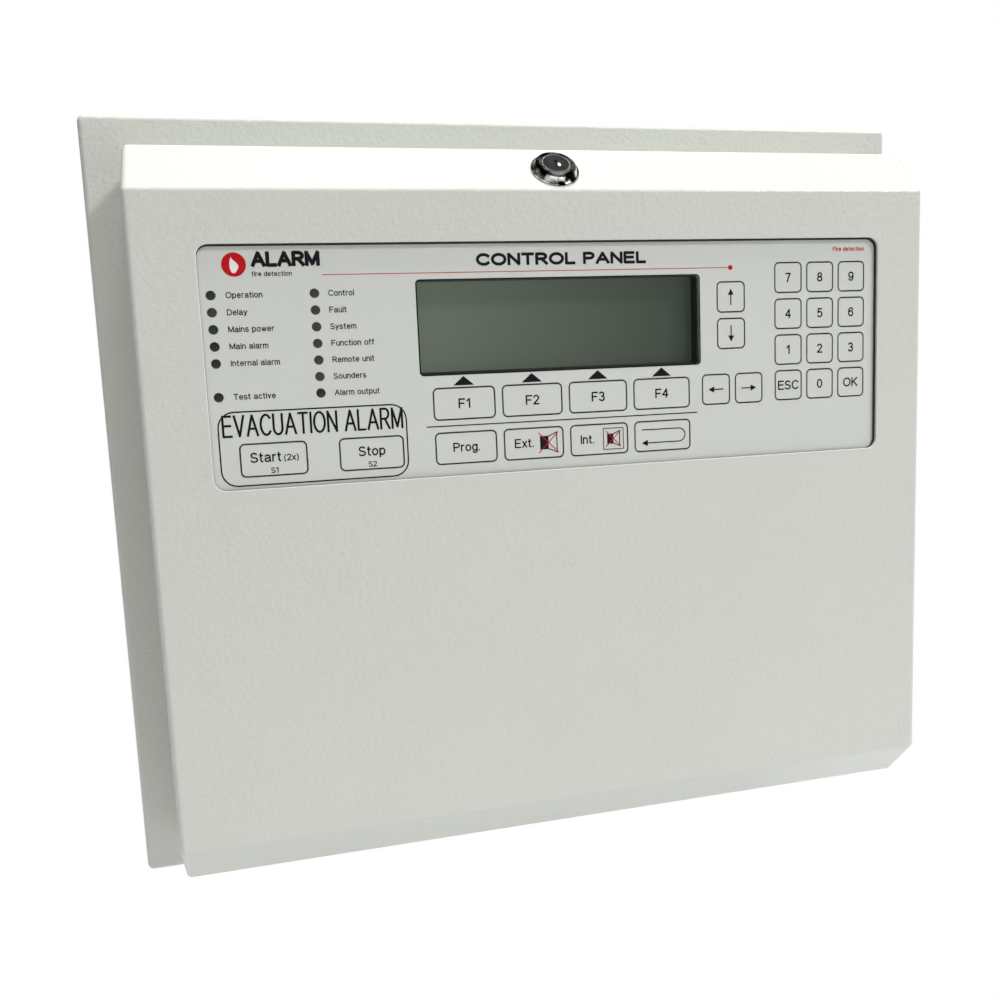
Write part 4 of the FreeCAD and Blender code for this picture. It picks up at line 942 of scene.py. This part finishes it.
def surface_parts(name, board, y, out, seed, count, keep_out, body):
    """Small soldered parts with tracks and print on a board's face at y; out is its way."""
    low, high = box_mm(board)
    chance = random.Random(seed)
    batch = Batch()
    taken = list(keep_out)
    placed = 0
    for _ in range(count * TRIES):
        if placed == count:
            break
        kind = chance.random()
        long, short, tall = next(size for share, size in PART_SIZES if kind < share)
        lying = chance.random() < 0.5
        w, h = (long / 2, short / 2) if lying else (short / 2, long / 2)
        x, z = (round((start + chance.random() * (end - start - 2 * BOARD_EDGE) + BOARD_EDGE)
                      / BOARD_GRID) * BOARD_GRID
                for start, end in ((low.x, high.x), (low.z, high.z)))
        x0, x1, z0, z1 = x - w - PART_GAP, x + w + PART_GAP, z - h - PART_GAP, z + h + PART_GAP
        if not clear_of(taken, x0, x1, z0, z1):
            continue
        taken.append((Vector((x0, y, z0)), Vector((x1, y, z1))))
        placed += 1
        body_y = sorted((y, y + out * tall))
        tone = 1 if kind < CERAMIC_SHARE else 2
        for a, b, finish in ((-1, -SOLDERED, 0), (SOLDERED, 1, 0), (-SOLDERED, SOLDERED, tone)):
            if lying:
                batch.block(x + a * w, x + b * w, *body_y, z - h, z + h, finish)
            else:
                batch.block(x - w, x + w, *body_y, z + a * h, z + b * h, finish)
        track_y = sorted((y, y + out * TRACK_THICK))
        reach = chance.choice((6, 9, 14, 22))
        turn = chance.choice((-1, 1)) * chance.choice((4, 7, 12))
        foot, top = z + h + 0.2, z + h + 0.2 + reach
        left, right = sorted((x, x + turn))
        inside = (top < high.z - TRACK_EDGE and left > low.x + TRACK_EDGE
                  and right < high.x - TRACK_EDGE)
        if inside and clear_of(keep_out, left, right, foot, top):
            batch.block(x - TRACK_HALF, x + TRACK_HALF, *track_y, foot, top, 3)
            batch.block(left, right, *track_y, top - 0.3, top, 3)
        if placed % 5 == 0:
            batch.block(x - w, x - w + 1.1, *track_y, z - h - 1.3, z - h - 0.6, 4)
    made = batch.make(name, [TIN, CERAMIC, CHIP, TRACK_GREEN, SILK], body)


def main_board_parts():
    """Soldered parts on the main board's front, and printed outlines round its relays."""
    foot = box_mm("main_board")[0].z
    face = box_mm("board_components")[1].y
    margin = Vector((2, 0, 2))
    keep = [(a - margin, b + margin)
            for node in ("board_components", "terminal_blocks", "fuses", "board_screws")
            for a, b in solids_of(node)]
    keep.append((Vector((-15, 0, foot)), Vector((15, 0, foot + 11))))
    surface_parts("main_board_parts", "main_board", face, -1, 5, 260, keep, PANEL)
    batch = Batch()
    for a, b in solids_of("board_components"):
        if b.y - a.y > RELAY_DEPTH:
            loops = [rounded_outline(a.x - out, b.x + out, a.z - out, b.z + out, face, corner, 1)
                     for out, corner in ((0.8, 0.3), (0.6, 0.2))]
            batch.ring(*loops, (0, -0.04, 0))
    made = batch.make("main_board_outlines", [SILK], PANEL)


def operator_board_parts():
    """Soldered parts on the rear of the board behind the foil, clear of what stands there."""
    window_low, window_high = box_mm("display_board")
    buzzer = box_mm("buzzer")
    margin = Vector((1, 0, 1))
    keep = [(window_low - margin, window_high + margin), buzzer,
            (Vector((-15, 0, 16)), Vector((15, 0, 28)))]
    surface_parts("operator_board_parts", "operator_board", buzzer[0].y, 1, 11, 150, keep, COVER)


WAYS = 8                                     # in each terminal block
SCREW_HEAD = ((1.45, 0), (1.45, 0.5), (1.2, 0.75), (0.1, 0.75))
SUPPLY_SCREW = ((2.7, 0), (2.7, 0.9), (2.3, 1.3), (0.2, 1.3))


def terminal_screws():
    """Screw heads in every terminal way, their slots and crosses painted on as dark bars of shade.
    """
    batch = Batch()
    for low, high in solids_of("terminal_blocks"):
        pitch = (high.x - low.x - 1.0) / WAYS
        for way in range(WAYS):
            x, y, z = low.x + 0.5 + pitch * (way + 0.5), low.y + 1.9, low.z + 3.5
            batch.lathe(SCREW_HEAD, (x, y, z), FRONT, 20)
            # painted shade: a thin black bar stands in for the slot
            batch.block(x - 1.15, x + 1.15, y - 0.78, y - 0.74, z - 0.18, z + 0.18, 1)
    low, high = box_mm("supply_terminals")
    for way in range(WAYS):
        x, y, z = low.x + (high.x - low.x) / WAYS * (way + 0.5), high.y - 11.6, low.z + 7.5
        batch.lathe(SUPPLY_SCREW, (x, y, z), FRONT, 24)
        # painted shade: two black bars stand in for the cross
        for a, b in ((2.2, 0.25), (0.25, 2.2)):
            batch.block(x - a, x + a, y - 1.36, y - 1.3, z - b, z + b, 1)
    made = batch.make("terminal_screws", [TIN, PAINTED_SLOT_SHADE], PANEL)


END_CAP = 5                                  # length of a fuse's end cap
CAP_PROFILE = ((2.3, 0), (2.55, 0.3), (2.55, 4.7), (2.3, END_CAP))


def glass_fuses():
    """Glass tubes between end caps in sprung clips."""
    batch = Batch()
    along = Vector((1, 0, 0))
    for low, high in solids_of("fuses"):
        y, z, length = low.y + 2.6, (low.z + high.z) / 2, high.x - low.x
        start = Vector((low.x, y, z))
        batch.lathe([(2.35, END_CAP), (2.35, length - END_CAP)], start, along, 28, 1)
        for at in (0, length - END_CAP):
            x = low.x + at
            batch.lathe(CAP_PROFILE, start + along * at, along, 28)
            for z0, z1 in ((z - 2.95, z - 2.55), (z + 2.55, z + 2.95)):
                batch.block(x + 0.8, x + 4.2, y - 1.8, high.y, z0, z1)
            batch.block(x + 0.8, x + 4.2, high.y - 0.5, high.y, z - 2.9, z + 2.9)
    made = batch.make("glass_fuses", [TIN, GLASS], PANEL, True)
    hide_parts("fuses")


TERMINAL_RISE = 6                            # battery terminals stand this far over the case
VENT_LID = ((5.5, 0), (5.5, 0.5), (4.8, 0.8))


def battery_details():
    """Labels, vent lids and coloured terminal skirts on both batteries."""
    batch = Batch()
    for low, high in solids_of("batteries"):
        top = high.z - TERMINAL_RISE
        for z0, z1, y, corner, depth, finish in (
                (low.z + 14, top - 24, low.y, 3, 0.08, 0),
                (top - 38, top - 27, low.y - 0.08, 1, 0.04, 3)):
            batch.prism(rounded_outline(low.x + 16, high.x - 16, z0, z1, y, corner),
                        (0, -depth, 0), finish)
        for k in range(3):
            z = low.z + 20 + 6 * k
            batch.block(low.x + 22, high.x - 60 + 12 * k, low.y - 0.14, low.y - 0.07, z, z + 1.4,
                        3)
        for x, tone in ((low.x + 13, 2), (high.x - 13, 1)):
            batch.block(x - 5.5, x + 5.5, low.y + 7, low.y + 17.5, top, top + 1.5, tone)
        for k in range(6):
            batch.lathe(VENT_LID, (low.x + 32 + 17.4 * k, low.y + 32, top), (0, 0, 1), 24, 3)
    made = batch.make("battery_labels", [LABEL, WIRE_RED, WIRE_BLACK, BATTERY], PANEL)


# ---- Wires and cables ---------------------------------------------------------------
def smooth_path(points, steps):
    """Points of a smooth open spline that starts and ends at the route's ends."""
    curve = bpy.data.curves.new("route", "CURVE")
    curve.dimensions = "3D"
    spline = curve.splines.new("NURBS")
    spline.points.add(len(points) - 1)
    for knot, point in zip(spline.points, points):
        knot.co = (*point, 1)
    spline.order_u = 3
    spline.use_endpoint_u = True
    spline.resolution_u = steps
    holder = bpy.data.objects.new("route", curve)
    bpy.context.scene.collection.objects.link(holder)
    bpy.context.view_layer.update()
    mesh = bpy.data.meshes.new_from_object(
        holder.evaluated_get(bpy.context.evaluated_depsgraph_get()))
    path = [v.co.copy() for v in mesh.vertices]
    bpy.data.objects.remove(holder)
    bpy.data.meshes.remove(mesh)
    return path


def section_along(batch, path, shape, side_hint, finish=0):
    """Draws a section of (side, normal) offsets along a path; side_hint sets its turn."""
    n = len(shape)
    points, faces = [], []
    for k, point in enumerate(path):
        before, after = path[max(k - 1, 0)], path[min(k + 1, len(path) - 1)]
        along = (after - before).normalized()
        side = (side_hint - along * side_hint.dot(along)).normalized()
        normal = along.cross(side)
        points += [point + side * u + normal * v for u, v in shape]
    for row in range(len(path) - 1):
        for k in range(n):
            a, b = row * n + k, row * n + (k + 1) % n
            faces.append((a, a + n, b + n, b))
    faces.append(tuple(range(n)))
    faces.append(tuple(len(points) - 1 - k for k in range(n)))
    batch.solid(points, faces, finish)


def circle(radius, steps=14):
    return [(radius * math.cos(a), radius * math.sin(a)) for a in turns(steps)]


def wire(batch, points, radius, finish, hint):
    section_along(batch, smooth_path(points, 12), circle(radius), Vector(hint), finish)


LEAD_RADIUS, SUPPLY_WIRE_RADIUS = 1.3, 1.0
LEAD_SLEEVE = (3.1, 5.5, 2.2, 1.6)           # half width, down, up, half depth


def battery_wires():
    """Series link, the two leads to the main board, their terminal sleeves and plug."""
    batch = Batch()
    (left_low, left_high), (right_low, right_high) = solids_of("batteries")
    y = left_low.y + 12.4
    rise = left_high.z + 1.0
    near = (left_high.x - 13, right_low.x + 13)
    far = (left_low.x + 13, right_high.x - 13)
    wire(batch, [(near[0], y, rise), (near[0], y, rise + 6), (near[0] + 5, y, rise + 6.6),
                 (near[1] - 5, y, rise + 6.6), (near[1], y, rise + 6), (near[1], y, rise)],
         LEAD_RADIUS, 0, (0.01, 1, 0.02))
    for x, plug, tone in ((far[0], 28.0, 1), (far[1], 36.0, 0)):
        wire(batch, [(x, y, rise), (x, y, rise + 5.5), (x, -56, rise + 5.8), (x, -48, rise + 5.8),
                     (x + (plug - x) * 0.08, -48, rise + 5.6), ((x + plug) / 2, -47.5, rise + 5.2),
                     (plug + (x - plug) * 0.06, -47.5, rise + 5.6), (plug, -46, rise + 5.8),
                     (plug, -36, rise + 6), (plug, -27, rise + 6), (plug, -26, -24),
                     (plug, -26, -21.8)], LEAD_RADIUS, tone, (0.01, 0.3, 1))
    half, down, up, deep = LEAD_SLEEVE
    for x, tone in ((near[0], 0), (near[1], 0), (far[0], 1), (far[1], 0)):
        batch.prism(rounded_outline(x - half, x + half, rise - down, rise + up, y - deep, 0.8, 3),
                    (0, 2 * deep, 0), tone)
    board = box_mm("board_components")[1].y
    batch.block(24.5, 39.5, board - 8, board, -26, -19, 2)
    made = batch.make("battery_wires", [WIRE_RED, WIRE_BLACK, LABEL], PANEL, True)
    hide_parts("battery_leads")


RIBBON_ROUTE = ((-26, -29), (-26, -40), (-20, -62), (-20, -110), (-20, -146), (-20, -157.5),
                (-34, -157.5), (-57, -157.5), (-77.2, -137), (-77.2, -110), (-77.2, -60),
                (-77.2, 0), (-65.5, 8), (-65.5, 18))
RIBBON_WAYS, RIBBON_HALF, RIBBON_THICK = 16, 10.0, 0.45
PLUG_HALF = 13.5
LEAD_X = 100.0
LEAD_ROUTE = ((-18.5, -150.2), (-18.5, -154.5), (-21.5, -157), (-33, -157), (-46, -157))
STRIPE = ((1.2, 0.55), (1.52, 0.0), (1.2, -0.55), (1.0, 0.0))


def ribbon_cable():
    """Ribbed flat cable with one red edge, from board to board through the hinge line."""
    batch = Batch()
    path = smooth_path([(0, y, z) for y, z in RIBBON_ROUTE], 10)
    pitch = 2 * RIBBON_HALF / RIBBON_WAYS
    for way in range(RIBBON_WAYS):
        middle = -RIBBON_HALF + (way + 0.5) * pitch
        shape = [(middle + pitch / 2 * 1.02 * math.cos(a), RIBBON_THICK * math.sin(a))
                 for a in turns(8)]
        section_along(batch, path, shape, Vector((1, 0, 0)), 0 if way else 1)
    made = batch.make("ribbon_flat_cable", [RIBBON_GREY, WIRE_RED], None, True)
    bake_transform(made)
    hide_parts("ribbon_cable")
    for name, body, y, z in (("ribbon_plug_main", PANEL, -26.0, -27.0),
                             ("ribbon_plug_cover", COVER, -65.5, 16.0)):
        plug = Batch()
        plug.prism(rounded_outline(-PLUG_HALF, PLUG_HALF, z - 5, z + 4, y - 2.6, 1.0, 3),
                   (0, 5.2, 0))
        made = plug.make(name, [BLACK_PLASTIC], body)


def earth_cable():
    """Green and yellow bonding lead with a nut at each end."""
    batch = Batch()
    path = smooth_path([(LEAD_X, y, z) for y, z in LEAD_ROUTE], 14)
    mirrored = [(-u, v) for u, v in STRIPE]
    for finish, shape in ((0, circle(1.45, 16)), (1, STRIPE), (1, mirrored)):
        section_along(batch, path, shape, Vector((1, 0, 0)), finish)
    made = batch.make("earth_bonding_lead", [EARTH_SHEATH, EARTH_GREEN], None, True)
    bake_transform(made)
    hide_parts("earth_lead")
    for name, body, centre, axis in (
            ("earth_eye_plate", PANEL, (LEAD_X, -18.5, -146), FRONT),
            ("earth_eye_cover", COVER, (LEAD_X, -50, -157), (0, 0, 1))):
        eye = Batch()
        eye.lathe([(4.2, -0.5), (4.2, 0.5)], centre, axis, 6)
        eye.lathe([(3.4, 0.5), (3.4, 3.0)], centre, axis, 6)
        made = eye.make(name, [TIN], body)


COVERING = 0.08                              # how far a skin stands off what it covers
DRIVER, DRIVER_PITCH, DRIVER_DEPTH = 16, 32, 1.78


def board_sockets():
    """Black ribbon sockets over both headers, and black packages on the display board."""
    plate = box_mm("operator_board")[1].y
    for name, body, x, y0, y1, z0, z1 in (("main_socket", PANEL, 13, -30.6, -21.7, -29, -21),
                                          ("cover_socket", COVER, 13, -69.3, plate, 18, 26)):
        batch = Batch()
        batch.block(-x - COVERING, x + COVERING, y0 - COVERING, y1 + COVERING, z0 - COVERING,
                    z1 + COVERING)
        made = batch.make(name, [BLACK_PLASTIC], body)
    glass = box_mm("display_glass")[0]
    rear = box_mm("display_board")[1].y
    batch = Batch()
    for n in range(4):
        x, z = glass.x + 19 + DRIVER_PITCH * n, glass.z + 12
        bevelled(batch, (x - COVERING, rear - DRIVER_DEPTH, z - COVERING),
                 (x + DRIVER + COVERING, rear + COVERING, z + DRIVER + COVERING), 0.5, 0, True)
    made = batch.make("display_drivers", [CHIP], COVER)


CASE_SCREW = ((2.6, 0), (2.6, 0.9), (2.0, 1.5), (0.3, 1.6))


def supply_details():
    """Rating label without wording, cover screws and the two wires to the main board."""
    low, high = box_mm("power_supply")
    batch = Batch()
    batch.prism(rounded_outline(low.x + 14, high.x - 14, high.z - 25, high.z - 9, low.y, 1.2, 4),
                (0, -0.1, 0), 0)
    for k, reach in enumerate((50, 38, 44)):
        z = high.z - 13 - 3.6 * k
        batch.block(low.x + 17, low.x + reach, low.y - 0.14, low.y - 0.09, z, z + 0.9, 1)
    for x in (low.x + 5, high.x - 5):
        for z in (high.z - 6, low.z + 28):
            batch.lathe(CASE_SCREW, (x, low.y, z), FRONT, 24, 2)
            # painted shade: a thin black bar stands in for each screw's slot
            batch.block(x - 1.7, x + 1.7, low.y - 1.66, low.y - 1.5, z - 0.25, z + 0.25, 1)
    made = batch.make("supply_label_and_screws", [LABEL, CHIP, TIN], PANEL)
    wires = Batch()
    for tone, start, end, lower in ((0, -90.25, -50.5, 0), (1, -80.75, -46.5, 1.6)):
        wire(wires, [(start, -25.5, -18), (start, -27, -23), (start, -29 - lower, -31),
                     (start + 8, -30 - lower, -34.5), ((start + end) / 2, -30 - lower, -35.5),
                     (end - 6, -29 - lower, -34), (end, -28, -26), (end, -27, -14),
                     (end, -24, -9), (end, -22, -9)], SUPPLY_WIRE_RADIUS, tone, (0.01, 1, 0.3))
        wires.block(end - 2.4, end + 2.4, -25.5, -21.62, -12, -6, 2)
    made = wires.make("supply_wires", [WIRE_RED, WIRE_BLACK, LABEL], PANEL, True)


# ---- Stage --------------------------------------------------------------------------
ROOM_LIGHT = 0.40
# height, tone: a soft room with a darker ceiling
ROOM_TONES = ((0.0, 0.9), (0.48, 0.75), (0.60, 0.35), (0.72, 0.8), (0.86, 1.0), (0.95, 0.4),
              (1.0, 0.25))
# name, place in metres, size, power, seen in reflections
LAMPS = (("window_right", (2.3, -2.3, 2.65), 0.65, 86.0, True),
         ("ceiling", (0.1, -0.12, 1.85), 0.8, 44.0, False))
FLOOR_DROP, FLOOR_REACH = 130, 8000


def camera_choice(tree, lit, seen, target):
    """Feeds one shader to the lens and another to every other ray."""
    path = add(tree, "ShaderNodeLightPath")
    choose = add(tree, "ShaderNodeMixShader", {0: path.outputs["Is Camera Ray"], 1: lit, 2: seen})
    feed(tree, target, choose.outputs[0])


def white_floor():
    """Pale matt floor that the lens sees as bare white."""
    material = finish_of("pale_floor", (0.86, 0.86, 0.87), 0.6, mottle=0.01)
    tree = material.node_tree
    camera_choice(tree, tree.nodes["Principled BSDF"].outputs[0],
                  add(tree, "ShaderNodeEmission").outputs[0],
                  tree.nodes["Material Output"].inputs["Surface"])
    return material


def studio_world():
    """White to the lens; the room's tones for light and reflections."""
    world = bpy.data.worlds.new("studio")
    bpy.context.scene.world = world
    world.use_nodes = True
    tree = world.node_tree
    lit = tree.nodes["Background"]
    feed(tree, lit.inputs["Strength"], ROOM_LIGHT)
    where = add(tree, "ShaderNodeTexCoord").outputs["Generated"]
    split = add(tree, "ShaderNodeSeparateXYZ", {0: where})
    height = calc(tree, "MULTIPLY_ADD", split.outputs["Z"], 0.5, 0.5)
    ramp = add(tree, "ShaderNodeValToRGB", {"Fac": height})
    ramp.color_ramp.interpolation = "B_SPLINE"
    elements = ramp.color_ramp.elements
    for position, _ in ROOM_TONES[1:-1]:
        elements.new(position)
    for element, (position, tone) in zip(elements, ROOM_TONES):
        element.position = position
        element.color = (tone, tone, tone, 1)
    feed(tree, lit.inputs["Color"], ramp.outputs["Color"])
    seen = add(tree, "ShaderNodeBackground", {"Color": (1, 1, 1, 1)})
    camera_choice(tree, lit.outputs[0], seen.outputs[0], tree.nodes["World Output"].inputs[0])


def stage():
    """Floor, world, lamps and a plain view transform."""
    z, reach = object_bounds()[0].z / MM - FLOOR_DROP, FLOOR_REACH
    floor = piece("floor", [(-reach, -reach, z), (reach, -reach, z), (reach, reach, z),
                            (-reach, reach, z)], [(0, 1, 2, 3)], [white_floor()])
    floor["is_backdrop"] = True
    studio_world()
    for name, place, size, power, mirrored in LAMPS:
        lamp = bpy.data.lights.new(name, "AREA")
        lamp.size, lamp.energy = size, power
        holder = bpy.data.objects.new(name, lamp)
        bpy.context.scene.collection.objects.link(holder)
        holder.location = place
        holder.rotation_euler = (-Vector(place)).to_track_quat("-Z", "Y").to_euler()
        holder.visible_glossy = mirrored
    bpy.context.scene.view_settings.view_transform = "Standard"


EYE = (-139.8, COVER_FRONT - 465.1, 73.5)
AZIMUTH, ELEVATION, ROLL = (math.radians(a) for a in (14.996, -8.266, -2.117))
SENSOR, LENS, LENS_SHIFT, CLIP_START = 36.0, 37.84, -0.04, 0.01


def camera():
    """Seen from the left and a little above, close enough for clear perspective."""
    forward = Vector((math.sin(AZIMUTH) * math.cos(ELEVATION),
                      math.cos(AZIMUTH) * math.cos(ELEVATION), math.sin(ELEVATION)))
    level = forward.cross(Vector((0, 0, 1))).normalized()
    side = level * math.cos(ROLL) + level.cross(forward) * math.sin(ROLL)
    lens = bpy.data.cameras.new("camera")
    lens.sensor_width, lens.lens = SENSOR, LENS
    lens.shift_x, lens.clip_start = LENS_SHIFT, CLIP_START
    holder = bpy.data.objects.new("camera", lens)
    bpy.context.scene.collection.objects.link(holder)
    turn = Matrix((side, side.cross(forward), -forward)).transposed()
    holder.matrix_world = Matrix.Translation(Vector(EYE) * MM) @ turn.to_4x4()
    bpy.context.scene.camera = holder


for key in KEYS:
    key_print(key)
for draw in (foil_print, light_windows, opening_edge, lock_parts, board_sockets, supply_details,
             component_parts, main_board_parts, terminal_screws, glass_fuses, battery_details,
             battery_wires, ribbon_cable, earth_cable, operator_board_parts, stage, camera):
    draw()
